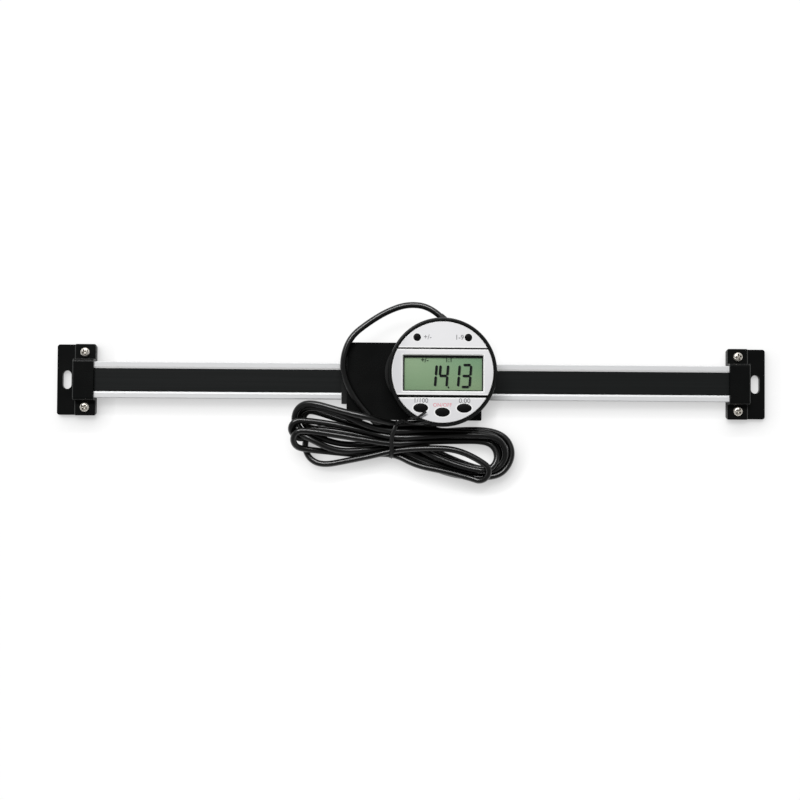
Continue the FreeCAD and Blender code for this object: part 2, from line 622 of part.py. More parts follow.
def button_prism(place, grow, z0, z1):
    """Round or oval prism on a button's outline, grown all round."""
    _, x, y, half_length, half_height = place
    if half_length == half_height:
        return rod(half_length + grow, x, y, z0, z1)
    return oval_prism(half_length + grow, half_height + grow, x, y, z0, z1)


flange_top = FRONT_BOTTOM - FLANGE_GAP
flange_bottom = flange_top - FLANGE_THICK
switch_top = flange_bottom - BUTTON_TRAVEL - FLANGE_GAP
switches = []
for place in BUTTONS:
    stem = button_prism(place, 0, flange_top, PANEL_TOP + BUTTON_PROUD)
    stem = stem.makeChamfer(BUTTON_EDGE, edges_at(stem, PANEL_TOP + BUTTON_PROUD))
    flange = button_prism(place, FLANGE_LAP, flange_bottom, flange_top)
    save(place[0], at_display(fuse_all([stem, flange])))
    switches.append(rod(SWITCH_R, place[1], place[2], CIRCUIT_TOP, switch_top))
save("key_switches", at_display(Part.makeCompound(switches)))
button_holes = [button_prism(place, BUTTON_GAP, FRONT_BOTTOM - BEYOND, RIM_TOP + BEYOND) for place in BUTTONS]

# Case: cup with a bezel rim, four screw bosses, the drawer's slot and the cord's hole
bosses = [((CAVITY_R - BOSS_R + BOSS_SINK) * math.cos(math.radians(angle)),
           (CAVITY_R - BOSS_R + BOSS_SINK) * math.sin(math.radians(angle))) for angle in BOSS_ANGLES]
exit_dir = heading(CABLE_EXIT_ANGLE)
exit_point = V(CABLE_EXIT_X, math.sqrt(DISPLAY_R ** 2 - CABLE_EXIT_X ** 2),
               (CASE_BOTTOM + CIRCUIT_BOTTOM) / 2)
window_left = WINDOW_X - WINDOW_LENGTH / 2
window_right = WINDOW_X + WINDOW_LENGTH / 2
window_low = WINDOW_Y - WINDOW_HEIGHT / 2
window_high = WINDOW_Y + WINDOW_HEIGHT / 2
slot_top = COIN_TOP + DRAWER_RUN_GAP + CONTACT_SHEET
slot_half = DRAWER_HALF + DRAWER_RUN_GAP

rim_step = RIM_ROUND * (1 - math.cos(math.radians(45)))
case = fuse_all([
    rod(DISPLAY_R, 0, 0, CASE_BOTTOM, RIM_TOP - RIM_ROUND),
    cone(DISPLAY_R, DISPLAY_R - rim_step, 0, 0, RIM_TOP - RIM_ROUND, RIM_TOP - rim_step),
    cone(DISPLAY_R - rim_step, DISPLAY_R - RIM_ROUND, 0, 0, RIM_TOP - rim_step, RIM_TOP)])
case = case.cut([rod(CAVITY_R, 0, 0, CASE_BOTTOM - BEYOND, FRONT_BOTTOM),
                 rod(FACE_R, 0, 0, FRONT_TOP, RIM_TOP + BEYOND)])
inside = rod(DISPLAY_R - BOSS_SINK, 0, 0, CASE_BOTTOM, FRONT_BOTTOM)
case = fuse_all([case] + [rod(BOSS_R, x, y, CASE_BOTTOM, FRONT_BOTTOM).common(inside) for x, y in bosses])
case = case.cut([rod(CASE_SCREW_R + THREAD_GAP, x, y, CASE_BOTTOM, CASE_BOTTOM + CASE_SCREW_LENGTH)
                 for x, y in bosses])
case = case.cut(button_holes)
case = case.cut([
    box(window_left - LENS_LAP, window_right + LENS_LAP, window_low - LENS_LAP, window_high + LENS_LAP,
        FRONT_BOTTOM - BEYOND, FRONT_TOP + BEYOND),
    box(-DISPLAY_R - BEYOND, -CAVITY_R / 2, -slot_half, slot_half, CASE_BOTTOM - BEYOND, slot_top),
    Part.makeCylinder(CABLE_COLLAR_R + THREAD_GAP, CABLE_COLLAR_ROOT + CABLE_COLLAR_REACH,
                      exit_point - exit_dir * CABLE_COLLAR_ROOT, exit_dir)])
save("display_shell", at_display(case))
save("display_gland", at_display(grommet(exit_point, exit_dir, CABLE_COLLAR_R, CABLE_COLLAR_TIP_R,
                                         CABLE_COLLAR_ROOT, CABLE_COLLAR_REACH)))

# Back plate of the case: magnets in its underside, posts under the circuit board, countersunk screws
back_r = DISPLAY_R - BACK_PLATE_STEP
base = rod(back_r, 0, 0, HEAD_TOP, CASE_BOTTOM)
base = base.makeChamfer(BACK_PLATE_CHAMFER, edges_at(base, HEAD_TOP))
magnet_places = [(MAGNET_CIRCLE_R * math.cos(2 * math.pi * i / MAGNET_COUNT),
                  MAGNET_CIRCLE_R * math.sin(2 * math.pi * i / MAGNET_COUNT)) for i in range(MAGNET_COUNT)]
base = base.cut([rod(MAGNET_R + MAGNET_GAP, x, y, HEAD_TOP - BEYOND, HEAD_TOP + MAGNET_THICK)
                 for x, y in magnet_places])
sink_depth = CASE_SCREW_HEAD_R - CASE_SCREW_R
for x, y in bosses:
    base = base.cut([rod(CASE_SCREW_R + HOLE_GAP, x, y, HEAD_TOP - BEYOND, CASE_BOTTOM + BEYOND),
                     cone(CASE_SCREW_HEAD_R, CASE_SCREW_R, x, y, HEAD_TOP, HEAD_TOP + sink_depth)])
base = fuse_all([base] + [rod(POST_R, x, y, CASE_BOTTOM, CIRCUIT_BOTTOM) for x, y in POST_PLACES])
save("display_back", at_display(base))
save("display_magnets", at_display(Part.makeCompound(
    [rod(MAGNET_R, x, y, HEAD_TOP, HEAD_TOP + MAGNET_THICK) for x, y in magnet_places])))
screw_end = CASE_BOTTOM + CASE_SCREW_LENGTH - THREAD_GAP
save("display_screws", at_display(Part.makeCompound([
    fuse_all([cone(CASE_SCREW_HEAD_R, CASE_SCREW_R, x, y, HEAD_TOP, HEAD_TOP + sink_depth),
              rod(CASE_SCREW_R, x, y, HEAD_TOP + sink_depth, screw_end)]) for x, y in bosses])))

# Face: three silver panels let into the rim, with the black case showing in the seams between them
face = rod(FACE_R - PANEL_GAP, 0, 0, FRONT_TOP, PANEL_TOP).cut(button_holes)
seams = {
    "upper_panel": (UPPER_SEAM_Y + UPPER_SEAM / 2, FACE_R),
    "window_frame": (LOWER_SEAM_Y + LOWER_SEAM / 2, UPPER_SEAM_Y - UPPER_SEAM / 2),
    "lower_panel": (-FACE_R, LOWER_SEAM_Y - LOWER_SEAM / 2),
}
for name, (low, high) in seams.items():
    panel = face.common(box(-FACE_R, FACE_R, low, high, FRONT_TOP, PANEL_TOP))
    panel = panel.makeChamfer(PANEL_EDGE, top_face(panel).OuterWire.Edges)
    if name == "window_frame":
        panel = panel.cut(rounded_plate(window_left, window_right, window_low, window_high,
                                        FRONT_TOP - BEYOND, PANEL_TOP + BEYOND, WINDOW_CORNER))
        outline = top_face(panel).OuterWire
        rims = [wire for wire in top_face(panel).Wires if not wire.isSame(outline)]
        panel = panel.makeChamfer(WINDOW_BEVEL, rims[0].Edges)
    save(name, at_display(panel))

# Window, LCD glass, elastomer strips and circuit board
lap = LENS_LAP - LENS_GAP
save("lcd_window", at_display(box(window_left - lap, window_right + lap, window_low - lap, window_high + lap,
                                  FRONT_TOP - LENS_THICK, FRONT_TOP)))
lcd_half = LCD_LENGTH / 2
save("lcd_panel", at_display(box(WINDOW_X - lcd_half, WINDOW_X + lcd_half, WINDOW_Y - LCD_HEIGHT / 2,
                                 WINDOW_Y + LCD_HEIGHT / 2, LCD_BOTTOM, FRONT_BOTTOM)))
save("lcd_connectors", at_display(Part.makeCompound([
    box(window_left, window_right, y - CONNECTOR_WIDTH / 2, y + CONNECTOR_WIDTH / 2, CIRCUIT_TOP, LCD_BOTTOM)
    for y in (WINDOW_Y - LCD_HEIGHT / 2 + CONNECTOR_WIDTH, WINDOW_Y + LCD_HEIGHT / 2 - CONNECTOR_WIDTH)])))
circuit = rod(CAVITY_R - CIRCUIT_GAP, 0, 0, CIRCUIT_BOTTOM, CIRCUIT_TOP)
save("display_board", at_display(circuit.cut([
    rod(BOSS_R + CIRCUIT_GAP, x, y, CIRCUIT_BOTTOM - BEYOND, CIRCUIT_TOP + BEYOND) for x, y in bosses])))

# Coin cell drawer: tray with a bulged front that follows the case, and the contact above it
coin_x = -(DISPLAY_R + DRAWER_BULGE - DRAWER_FRONT - COIN_GAP - COIN_R)
tray_end = coin_x + COIN_R + COIN_GAP + DRAWER_WALL
shoulder_x = -math.sqrt(DISPLAY_R ** 2 - DRAWER_HALF ** 2)


def drawer_prism(end, height):
    """Upright prism on the drawer's outline: a bulged front, straight sides and a square end."""
    corners = [V(shoulder_x, DRAWER_HALF, DRAWER_BOTTOM), V(end, DRAWER_HALF, DRAWER_BOTTOM),
               V(end, -DRAWER_HALF, DRAWER_BOTTOM), V(shoulder_x, -DRAWER_HALF, DRAWER_BOTTOM)]
    edges = [Part.LineSegment(corners[i], corners[i + 1]).toShape() for i in range(3)]
    front = V(-DISPLAY_R - DRAWER_BULGE, 0, DRAWER_BOTTOM)
    edges.append(Part.Arc(corners[3], front, corners[0]).toShape())
    return Part.Face(Part.Wire(edges)).extrude(V(0, 0, height))


tray = drawer_prism(tray_end, COIN_TOP - DRAWER_RIM_DROP - DRAWER_BOTTOM)
front = drawer_prism(shoulder_x + DRAWER_WALL, slot_top - DRAWER_RUN_GAP - DRAWER_BOTTOM)
drawer = fuse_all([tray, front]).cut(rod(COIN_R + COIN_GAP, coin_x, 0, COIN_BOTTOM, slot_top + BEYOND))
save("battery_drawer", at_display(drawer))
coin = rod(COIN_R, coin_x, 0, COIN_BOTTOM, COIN_TOP)
save("coin_cell", at_display(coin.makeChamfer(COIN_EDGE, edges_at(coin, COIN_TOP))))
contact_low = COIN_TOP + DRAWER_RUN_GAP
save("battery_contact", at_display(fuse_all([
    box(coin_x - CONTACT_LENGTH / 2, coin_x + CONTACT_LENGTH / 2, -CONTACT_WIDTH / 2, CONTACT_WIDTH / 2,
        CIRCUIT_BOTTOM - CONTACT_SHEET, CIRCUIT_BOTTOM),
    rod(CONTACT_DIMPLE_R, coin_x, 0, contact_low, CIRCUIT_BOTTOM - CONTACT_SHEET)])))

# Cord: free stretch, straight runs joined by arcs as large as the runs allow
route = [V(*point) for point in LEAD_ROUTE]
bend_radii = [0.0] * len(route)
for i in range(1, len(route) - 1):
    into = route[i] - route[i - 1]
    out = route[i + 1] - route[i]
    bend_radii[i] = ARC_SHARE * min(into.Length, out.Length) / math.tan(into.getAngle(out) / 2)
lead_path = rounded_path(route, bend_radii, False)
lead_end = Part.Wire(Part.Circle(route[0], route[1] - route[0], CORD_R).toShape())
lead = lead_path.makePipeShell([lead_end], True, False)
save("cable_lead", lead)
print("lead radii", [round(radius, 1) for radius in bend_radii[1:-1]])
print("lead length", round(lead_path.Length, 2), "volume ratio",
      round(lead.Volume / (math.pi * CORD_R ** 2 * lead_path.Length), 4))

# Cord: hank, with room left for the head, the readout, the grommet and the tie
tie_left = TIE_X - TIE_WIDTH / 2
tie_right = TIE_X + TIE_WIDTH / 2
(tie_y0, tie_y1), (tie_z0, tie_z1) = TIE_Y, TIE_Z


def tie_bar(grow, x0, x1):
    """Bar along X with the section of the tied bunch, grown all round."""
    radius = TIE_CORNER + grow
    section = [(tie_y0 - grow, tie_z0 - grow, radius), (tie_y1 + grow, tie_z0 - grow, radius),
               (tie_y1 + grow, tie_z1 + grow, radius), (tie_y0 - grow, tie_z1 + grow, radius)]
    return section_bar(section, x0, x1)


tie_band = tie_bar(TIE_THICK, tie_left, tie_right).cut(tie_bar(0, tie_left - BEYOND, tie_right + BEYOND))
knot_end = V(tie_left, tie_y1 - KNOT_R, tie_z1 + TIE_THICK + KNOT_R / 2)
knot = Part.makeCylinder(KNOT_R, KNOT_LENGTH, knot_end, V(1, 0, 0))
knot = knot.cut(tie_bar(TIE_THICK, tie_left - BEYOND, tie_right + KNOT_LENGTH))
save("cable_tie", fuse_all([tie_band, knot]))

hank = fuse_all([outline_prism(HANK_OUTLINE, HANK_BOTTOM, HANK_TOP),
                 outline_prism(SADDLE_OUTLINE, HANK_TOP / 2, SADDLE_TOP),
                 tie_bar(0, tie_left - TIE_WIDTH, tie_right + TIE_WIDTH)])
head_room = box(HEAD_LEFT - HANK_GAP, HEAD_RIGHT + HANK_GAP, -head_side - HANK_GAP, head_side + HANK_GAP,
                0, HEAD_TOP + HANK_GAP)
cap_half = CAP_HALF_WIDTH + HANK_GAP
cap_room = box(HEAD_LEFT - CAP_LENGTH - HANK_GAP, HEAD_RIGHT, -cap_half, cap_half,
               0, CHANNEL_TOP + CAP_ROOF + HANK_GAP)
display_room = at_display(rod(DISPLAY_R + HANK_GAP, 0, 0, HEAD_TOP - HANK_GAP, SADDLE_TOP + BEYOND))
gland_room = Part.makeCylinder(GLAND_R + HANK_GAP, gland_span,
                               gland_point - gland_dir * GLAND_ROOT, gland_dir)
tie_room = tie_bar(SADDLE_TOP, tie_left, tie_right).cut(tie_bar(0, tie_left, tie_right))
hank = hank.cut([head_room, cap_room, display_room, gland_room, tie_room, knot])
save("cable_hank", hank)
print("hank solids", len(hank.Solids), "volume", round(hank.Volume, 1))
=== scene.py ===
import math

import bmesh
import bpy
import numpy as np
from mathutils import Matrix, Vector


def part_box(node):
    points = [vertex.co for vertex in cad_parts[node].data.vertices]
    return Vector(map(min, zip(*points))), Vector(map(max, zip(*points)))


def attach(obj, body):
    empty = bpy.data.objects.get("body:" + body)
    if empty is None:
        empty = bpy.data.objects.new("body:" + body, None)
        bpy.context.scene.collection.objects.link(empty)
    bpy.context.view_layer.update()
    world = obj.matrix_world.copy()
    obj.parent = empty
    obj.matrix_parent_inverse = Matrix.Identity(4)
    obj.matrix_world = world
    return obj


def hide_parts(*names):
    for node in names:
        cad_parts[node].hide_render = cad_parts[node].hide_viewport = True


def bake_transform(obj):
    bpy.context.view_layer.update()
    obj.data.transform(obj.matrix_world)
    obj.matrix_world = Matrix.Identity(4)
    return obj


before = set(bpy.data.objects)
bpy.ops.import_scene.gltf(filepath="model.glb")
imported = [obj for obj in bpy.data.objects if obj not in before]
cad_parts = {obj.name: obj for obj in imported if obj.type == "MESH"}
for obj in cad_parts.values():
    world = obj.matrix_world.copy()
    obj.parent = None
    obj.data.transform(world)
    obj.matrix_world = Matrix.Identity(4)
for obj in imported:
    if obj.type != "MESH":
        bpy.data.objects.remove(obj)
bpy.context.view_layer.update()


# Beam: extruded aluminium bar, anodised in its natural silver, with a recess for the tape in its top.
# The die leaves fine lines along it, and a painted highlight lies along the far lip of the recess.
class Socket:
    """Output of a shader node: arithmetic on it adds Math nodes, and node() adds a node of any other type."""

    def __init__(self, tree, output=None):
        self.tree = tree
        self.output = output

    def node(self, kind, settings=None, sockets=None, result=0):
        """Adds a node: first its settings, then the value or the link of each socket that is named."""
        made = self.tree.nodes.new(kind)
        for name, value in (settings or {}).items():
            setattr(made, name, value)
        self.feed(made, sockets or {})
        return Socket(self.tree, made.outputs[result])

    def feed(self, made, sockets):
        """Gives a node's sockets their values or links."""
        for name, value in sockets.items():
            if isinstance(value, Socket):
                self.tree.links.new(value.output, made.inputs[name])
            else:
                made.inputs[name].default_value = value

    def maths(self, operation, first, second=0.0):
        """Adds a Math node."""
        return self.node("ShaderNodeMath", {"operation": operation}, {0: first, 1: second})

    def __add__(self, other):
        return self.maths("ADD", self, other)

    def __sub__(self, other):
        return self.maths("SUBTRACT", self, other)

    def __rsub__(self, other):
        return self.maths("SUBTRACT", other, self)

    def __mul__(self, other):
        return self.maths("MULTIPLY", self, other)

    def __pow__(self, other):
        return self.maths("POWER", self, other)

    def __abs__(self):
        return self.maths("ABSOLUTE", self)

    __radd__ = __add__
    __rmul__ = __mul__


def new_finish(name):
    """Empty material, and the place on its piece, in metres, from which its patterns are worked out."""
    material = bpy.data.materials.new(name)
    material.use_nodes = True
    return material, Socket(material.node_tree).node("ShaderNodeTexCoord", result="Object")


def grain(place, size, stretch=(1, 1, 1), detail=3.0):
    """Noise from 0 to 1 in spots of one size, in metres, drawn out along the axes by the stretch."""
    spots = place.node("ShaderNodeMapping", {}, {"Vector": place, "Scale": [1 / (size * s) for s in stretch]})
    return place.node("ShaderNodeTexNoise", {}, {"Vector": spots, "Scale": 1.0, "Detail": detail})


def tint(share, low, high):
    """Colour that goes from low to high as the share goes from 0 to 1."""
    return share.node("ShaderNodeMix", {"data_type": "RGBA"}, {0: share, 6: low, 7: high}, result=2)


def relief(height, depth):
    """Normal of a surface that a height from 0 to 1 raises by as much as the depth, in metres."""
    return height.node("ShaderNodeBump", {}, {"Height": height, "Distance": depth})


def step(value, start, end):
    """Share that rises smoothly from 0 at the start value to 1 at the end value."""
    return value.node("ShaderNodeMapRange", {"interpolation_type": "SMOOTHSTEP"},
                      {"Value": value, "From Min": start, "From Max": end})


def shade(place, values):
    """Sets or links the sockets of the material's shader."""
    place.feed(place.tree.nodes["Principled BSDF"], values)


def dress(material, *names):
    """Gives CAD nodes their finish."""
    for name in names:
        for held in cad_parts[name].material_slots:
            held.material = material


LIP_IN = 0.0064
LIP_OUT = 0.0074
LIP_SOFT = 0.0001
aluminium, place = new_finish("natural_anodised_aluminium")
die_lines = grain(place, 0.0003, (300, 1, 1))
cloud = grain(place, 0.03, (2, 1, 1))
sideways = place.node("ShaderNodeSeparateXYZ", {}, {"Vector": place}, "Y")
# Painted highlight: the far lip of the recess is coloured near white.
painted_lip_highlight = step(sideways, LIP_IN - LIP_SOFT, LIP_IN) * step(sideways, LIP_OUT + LIP_SOFT, LIP_OUT)
drawn_face = tint(0.65 * die_lines + 0.35 * cloud, (0.7, 0.71, 0.72, 1), (0.88, 0.885, 0.89, 1))
shade(place, {
    "Base Color": tint(painted_lip_highlight, drawn_face, (0.99, 0.99, 0.99, 1)),
    "Metallic": 0.15,
    "Roughness": 0.26 + 0.2 * die_lines,
    "Normal": relief(die_lines, 0.000006),
})
dress(aluminium, "rail_beam")

# Tape and its cover strip: a magnetic rubber tape glued into the recess, and a thin steel foil, painted satin
# black, stuck over it against chips. The foil was rolled, so its faint streaks run along the beam.
rubber_tape, place = new_finish("magnetic_rubber")
powder = grain(place, 0.0004)
shade(place, {
    "Base Color": tint(powder, (0.012, 0.009, 0.007, 1), (0.03, 0.024, 0.019, 1)),
    "Roughness": 0.7 + 0.2 * powder,
    "Normal": relief(powder, 0.00001),
})
dress(rubber_tape, "magnetic_tape")

strip_black, place = new_finish("satin_black_foil")
streaks = grain(place, 0.0005, (250, 1, 1))
speckle = grain(place, 0.00035, detail=2.0)
shade(place, {
    "Base Color": tint(streaks, (0.0055, 0.0063, 0.0063, 1), (0.0115, 0.0128, 0.0128, 1)),
    "Specular IOR Level": 0.23,
    "Roughness": 0.26 + 0.12 * streaks + 0.05 * speckle,
    "Normal": relief(0.5 * streaks + 0.5 * speckle, 0.000006),
})
dress(strip_black, "tape_cover")

# End brackets: a slotted base plate and a hat-shaped strap over the beam, both pressed from steel sheet and
# coated with black powder, which flows to a fine, slightly pebbled skin. A light line is painted along the
# straps' ends as a highlight.
STRAP_END = float(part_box("right_bracket_strap")[1][0])
END_HIGHLIGHT_WIDTH = 0.0005
END_HIGHLIGHT_SOFT = 0.0002
PAST_THE_ENDS = 1.0


def coated(name, highlight_from):
    """Black powder coat with a painted highlight further from the middle of the beam than a given length."""
    material, place = new_finish(name)
    pebbles = grain(place, 0.0007, detail=2.0)
    patches = grain(place, 0.012)
    black = tint(patches, (0.0028, 0.003, 0.003, 1), (0.006, 0.0064, 0.0062, 1))
    along = place.node("ShaderNodeSeparateXYZ", {}, {"Vector": place}, "X")
    # Painted highlight: the coat turns light grey near the straps' ends.
    end_highlight = step(abs(along), highlight_from, highlight_from + END_HIGHLIGHT_SOFT)
    shade(place, {
        "Base Color": tint(end_highlight, black, (0.055, 0.056, 0.055, 1)),
        "Specular IOR Level": 0.12,
        "Roughness": 0.2 + 0.08 * patches + 0.06 * pebbles,
        "Normal": relief(pebbles, 0.00002),
    })
    return material


powder_coat = coated("black_powder_coat", PAST_THE_ENDS)
dress(powder_coat, "left_bracket_base", "right_bracket_base")
dress(coated("powder_coat_with_painted_end_highlight", STRAP_END - END_HIGHLIGHT_WIDTH), "left_bracket_strap", "right_bracket_strap")

# Bracket screws: cross-head pan screws, nickel plated, two through each strap into the plate below it.
# The heads are cold formed, so the crown runs over a round shoulder and the recess has soft edges. The
# recess is painted dark as shade, the darker the less open it is.
MM = 0.001
SCREW_HEAD_R = 2.55
SCREW_HEAD_HEIGHT = 1.9
SCREW_SHANK_R = 1.5
SCREW_TIP = 0.3
RECESS_HALF_WIDTH = 0.42
RECESS_REACH = 1.65
RECESS_DEPTH = 1.0
RECESS_RISE = 0.3
WING_SOFT = 0.16
WING_END_SOFT = 0.3
SHARP_ANGLE = 38
SHADED_BELOW, UNSHADED_ABOVE = 0.35, 0.8


def skin(name, grids, looped=False):
    """Object from grids of points, in millimetres, each closed round its columns. The rows of a looped
    grid are joined end to end, and the first and last rows of any other are closed by a fan to their
    middle."""
    corners, faces, count = [], [], 0
    for grid in grids:
        rows, columns = grid.shape[:2]
        index = count + np.arange(rows * columns).reshape(rows, columns)
        low = index if looped else index[:-1]
        high = np.roll(index, -1, axis=0) if looped else index[1:]
        quads = np.stack([low, np.roll(low, -1, 1), np.roll(high, -1, 1), high], -1)
        faces += quads.reshape(-1, 4).tolist()
        corners.append(grid.reshape(-1, 3))
        count += rows * columns
        open_rows = () if looped else (0, -1)
        for row in open_rows:
            hub = np.full(columns, count)
            faces += np.stack([index[row], np.roll(index[row], -1), hub], -1).tolist()
            corners.append(grid[row].mean(axis=0)[None])
            count += 1
    mesh = bpy.data.meshes.new(name)
    mesh.from_pydata((np.vstack(corners) * MM).tolist(), [], faces)
    turned = bmesh.new()
    turned.from_mesh(mesh)
    bmesh.ops.recalc_face_normals(turned, faces=turned.faces)
    turned.to_mesh(mesh)
    turned.free()
    mesh.shade_smooth()
    mesh.set_sharp_from_angle(angle=math.radians(SHARP_ANGLE))
    piece = bpy.data.objects.new(name, mesh)
    bpy.context.scene.collection.objects.link(piece)
    return piece


def fit(piece, material, body):
    """Gives a new piece its finish, and lets it move with a body."""
    piece.data.materials.append(material)
    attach(piece, body)
    return piece


def soft_step(value):
    """Smooth rise from 0 to 1 of a number array, level outside that range."""
    t = np.clip(value, 0, 1)
    return t * t * (3 - 2 * t)


def cross_screw(x, y, seat, end, turn):
    """Turned profile: with t from 0 to a right angle, the head's radius grows as sin(t) to the 0.85 and
    its height falls as cos(t) to the 0.55; then the seat and the shank follow. The crown sinks where a
    point is nearer than half a wing's width to one of two crossed lines, no further along it than the
    recess reaches, and less towards the wings' ends."""
    t = np.linspace(0.03, np.pi / 2, 52)
    head_r = SCREW_HEAD_R * np.sin(t) ** 0.85
    head_z = seat + SCREW_HEAD_HEIGHT * np.cos(t) ** 0.55
    shank_r = np.array([SCREW_SHANK_R, SCREW_SHANK_R, SCREW_SHANK_R - SCREW_TIP])
    shank_z = np.array([seat, end + SCREW_TIP, end])
    r = np.concatenate([head_r, shank_r])[:, None]
    z = np.concatenate([head_z, shank_z])[:, None]
    angle = np.linspace(0, 2 * np.pi, 144, endpoint=False)[None]
    along = np.abs(r * np.cos(angle - turn))
    across = np.abs(r * np.sin(angle - turn))
    wing = soft_step((RECESS_HALF_WIDTH - np.minimum(along, across)) / WING_SOFT + 0.5)
    wing = wing * soft_step((RECESS_REACH - np.maximum(along, across)) / WING_END_SOFT + 0.5)
    sink = RECESS_DEPTH * wing * (1 - RECESS_RISE * np.maximum(along, across) / RECESS_REACH)
    sink[len(head_r):] = 0
    return np.stack([x + r * np.cos(angle), y + r * np.sin(angle), z - sink], -1)


nickel, place = new_finish("bright_nickel")
smudge = grain(place, 0.0011)
pits = grain(place, 0.00018, detail=2.0)
# Painted shade: the base colour turns dark brown where the recess is enclosed.
recess_openness = place.node("ShaderNodeAmbientOcclusion", {"samples": 8}, {"Distance": RECESS_DEPTH * MM}, "AO")
plating = tint(smudge, (0.8, 0.75, 0.66, 1), (0.98, 0.95, 0.88, 1))
shade(place, {
    "Base Color": tint(step(recess_openness, SHADED_BELOW, UNSHADED_ABOVE), (0.07, 0.055, 0.04, 1), plating),
    "Metallic": 0.75,
    "Roughness": 0.2 + 0.14 * smudge,
    "Normal": relief(pits, 0.000008),
})
for side, turns in (("left", (0.44, 1.08)), ("right", (0.21, 0.84))):
    low, high = [np.array(corner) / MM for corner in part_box(side + "_bracket_screws")]
    screw_x = (low[0] + high[0]) / 2
    rows_y = (high[1] - SCREW_HEAD_R, low[1] + SCREW_HEAD_R)
    seat = high[2] - SCREW_HEAD_HEIGHT
    screws = [cross_screw(screw_x, y, seat, low[2], turn) for y, turn in zip(rows_y, turns)]
    piece = fit(skin(side + "_cross_screws", screws), nickel, "rail")
    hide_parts(side + "_bracket_screws")

# Reader head: a black anodised aluminium housing that rides on the beam, under a steel cover with the same
# powder coat as the brackets, and two wiper caps moulded in black plastic with a fine spark-eroded grain.
anodised_black, place = new_finish("black_anodised_aluminium")
cutter = grain(place, 0.0003, (60, 1, 1))
blush = grain(place, 0.01)
shade(place, {
    "Base Color": tint(blush, (0.004, 0.0042, 0.0044, 1), (0.009, 0.0092, 0.0096, 1)),
    "Metallic": 0.15,
    "Specular IOR Level": 0.35,
    "Roughness": 0.38 + 0.12 * cutter,
    "Normal": relief(cutter, 0.000006),
})
dress(anodised_black, "head_housing")
dress(powder_coat, "head_cover")

moulded_black, place = new_finish("grained_black_plastic")
spark = grain(place, 0.00025, detail=4.0)
shine = grain(place, 0.008)
shade(place, {
    "Base Color": tint(shine, (0.005, 0.0053, 0.0053, 1), (0.011, 0.0114, 0.0113, 1)),
    "Specular IOR Level": 0.35,
    "Roughness": 0.3 + 0.1 * spark + 0.06 * shine,
    "Normal": relief(spark, 0.000014),
})
dress(moulded_black, "left_wiper_cap", "right_wiper_cap")

# Plates and screws under the head: a ground steel plate that closes the channel, and zinc-plated screws.
# None of them shows from above, but all are seen when the scale is turned over.
ground_steel, place = new_finish("ground_steel")
grind = grain(place, 0.0002, (80, 1, 1))
shade(place, {
    "Base Color": tint(grind, (0.42, 0.42, 0.42, 1), (0.62, 0.62, 0.61, 1)),
    "Metallic": 1.0,
    "Roughness": 0.28 + 0.22 * grind,
    "Normal": relief(grind, 0.000008),
})
dress(ground_steel, "head_back_plate")

zinc, place = new_finish("zinc_plate")
spangle = grain(place, 0.0008)
shade(place, {
    "Base Color": tint(spangle, (0.36, 0.37, 0.38, 1), (0.6, 0.61, 0.63, 1)),
    "Metallic": 1.0,
    "Roughness": 0.3 + 0.2 * spangle,
    "Normal": relief(spangle, 0.000006),
})
dress(zinc, "back_plate_screws", "cover_screws", "display_screws")

# Running parts in the head: acetal glide shoes on the beam's edges, the bowed steel strip that presses two of
# them, and pressed wool felts that wipe the beam at the head's ends.
acetal, place = new_finish("natural_acetal")
flow = grain(place, 0.004, (3, 1, 1))
shade(place, {
    "Base Color": tint(flow, (0.74, 0.72, 0.66, 1), (0.86, 0.85, 0.8, 1)),
    "Roughness": 0.34 + 0.14 * flow,
    "Subsurface Weight": 0.08,
    "Subsurface Radius": (0.001, 0.001, 0.0008),
    "Normal": relief(flow, 0.00001),
})
dress(acetal, "fixed_glide_shoes", "sprung_glide_shoes")

spring_strip, place = new_finish("rolled_spring_steel")
rolled = grain(place, 0.0002, (60, 1, 1))
shade(place, {
    "Base Color": tint(rolled, (0.44, 0.44, 0.42, 1), (0.66, 0.65, 0.62, 1)),
    "Metallic": 1.0,
    "Roughness": 0.2 + 0.2 * rolled,
    "Normal": relief(rolled, 0.000005),
})
dress(spring_strip, "gib_spring", "battery_contact")

felt, place = new_finish("pressed_wool_felt")
fibres = grain(place, 0.0005, (3, 1, 1), detail=6.0)
shade(place, {
    "Base Color": tint(fibres, (0.06, 0.057, 0.053, 1), (0.24, 0.23, 0.215, 1)),
    "Roughness": 0.85 + 0.15 * fibres,
    "Sheen Weight": 0.3,
    "Normal": relief(fibres, 0.0002),
})
dress(felt, "wiper_felts")

# Circuit boards, chip and switches: glass-fibre boards under green solder mask, whose tracks show as raised
# lines, and black moulded parts soldered on to them.
solder_mask, place = new_finish("green_solder_mask")
weave = grain(place, 0.0006, detail=1.0)
tracks = place.node("ShaderNodeTexBrick", {"offset": 0.37, "squash": 0.6, "squash_frequency": 3}, {
    "Vector": place,
    "Color1": (0, 0, 0, 1),
    "Color2": (0.25, 0.25, 0.25, 1),
    "Mortar": (1, 1, 1, 1),
    "Scale": 330.0,
    "Mortar Size": 0.09,
    "Mortar Smooth": 0.3,
    "Brick Width": 1.1,
    "Row Height": 0.42,
}, "Fac")
shade(place, {
    "Base Color": tint(0.75 * tracks + 0.2 * weave, (0.006, 0.06, 0.022, 1), (0.03, 0.2, 0.075, 1)),
    "Roughness": 0.26 + 0.2 * weave,
    "Coat Weight": 0.3,
    "Normal": relief(tracks, 0.00004),
})
dress(solder_mask, "sensor_board", "display_board")

epoxy, place = new_finish("moulded_epoxy")
filler = grain(place, 0.00015, detail=4.0)
shade(place, {
    "Base Color": tint(filler, (0.008, 0.008, 0.008, 1), (0.022, 0.022, 0.022, 1)),
    "Roughness": 0.45 + 0.2 * filler,
    "Normal": relief(filler, 0.000012),
})
dress(epoxy, "sensor_chip", "key_switches")

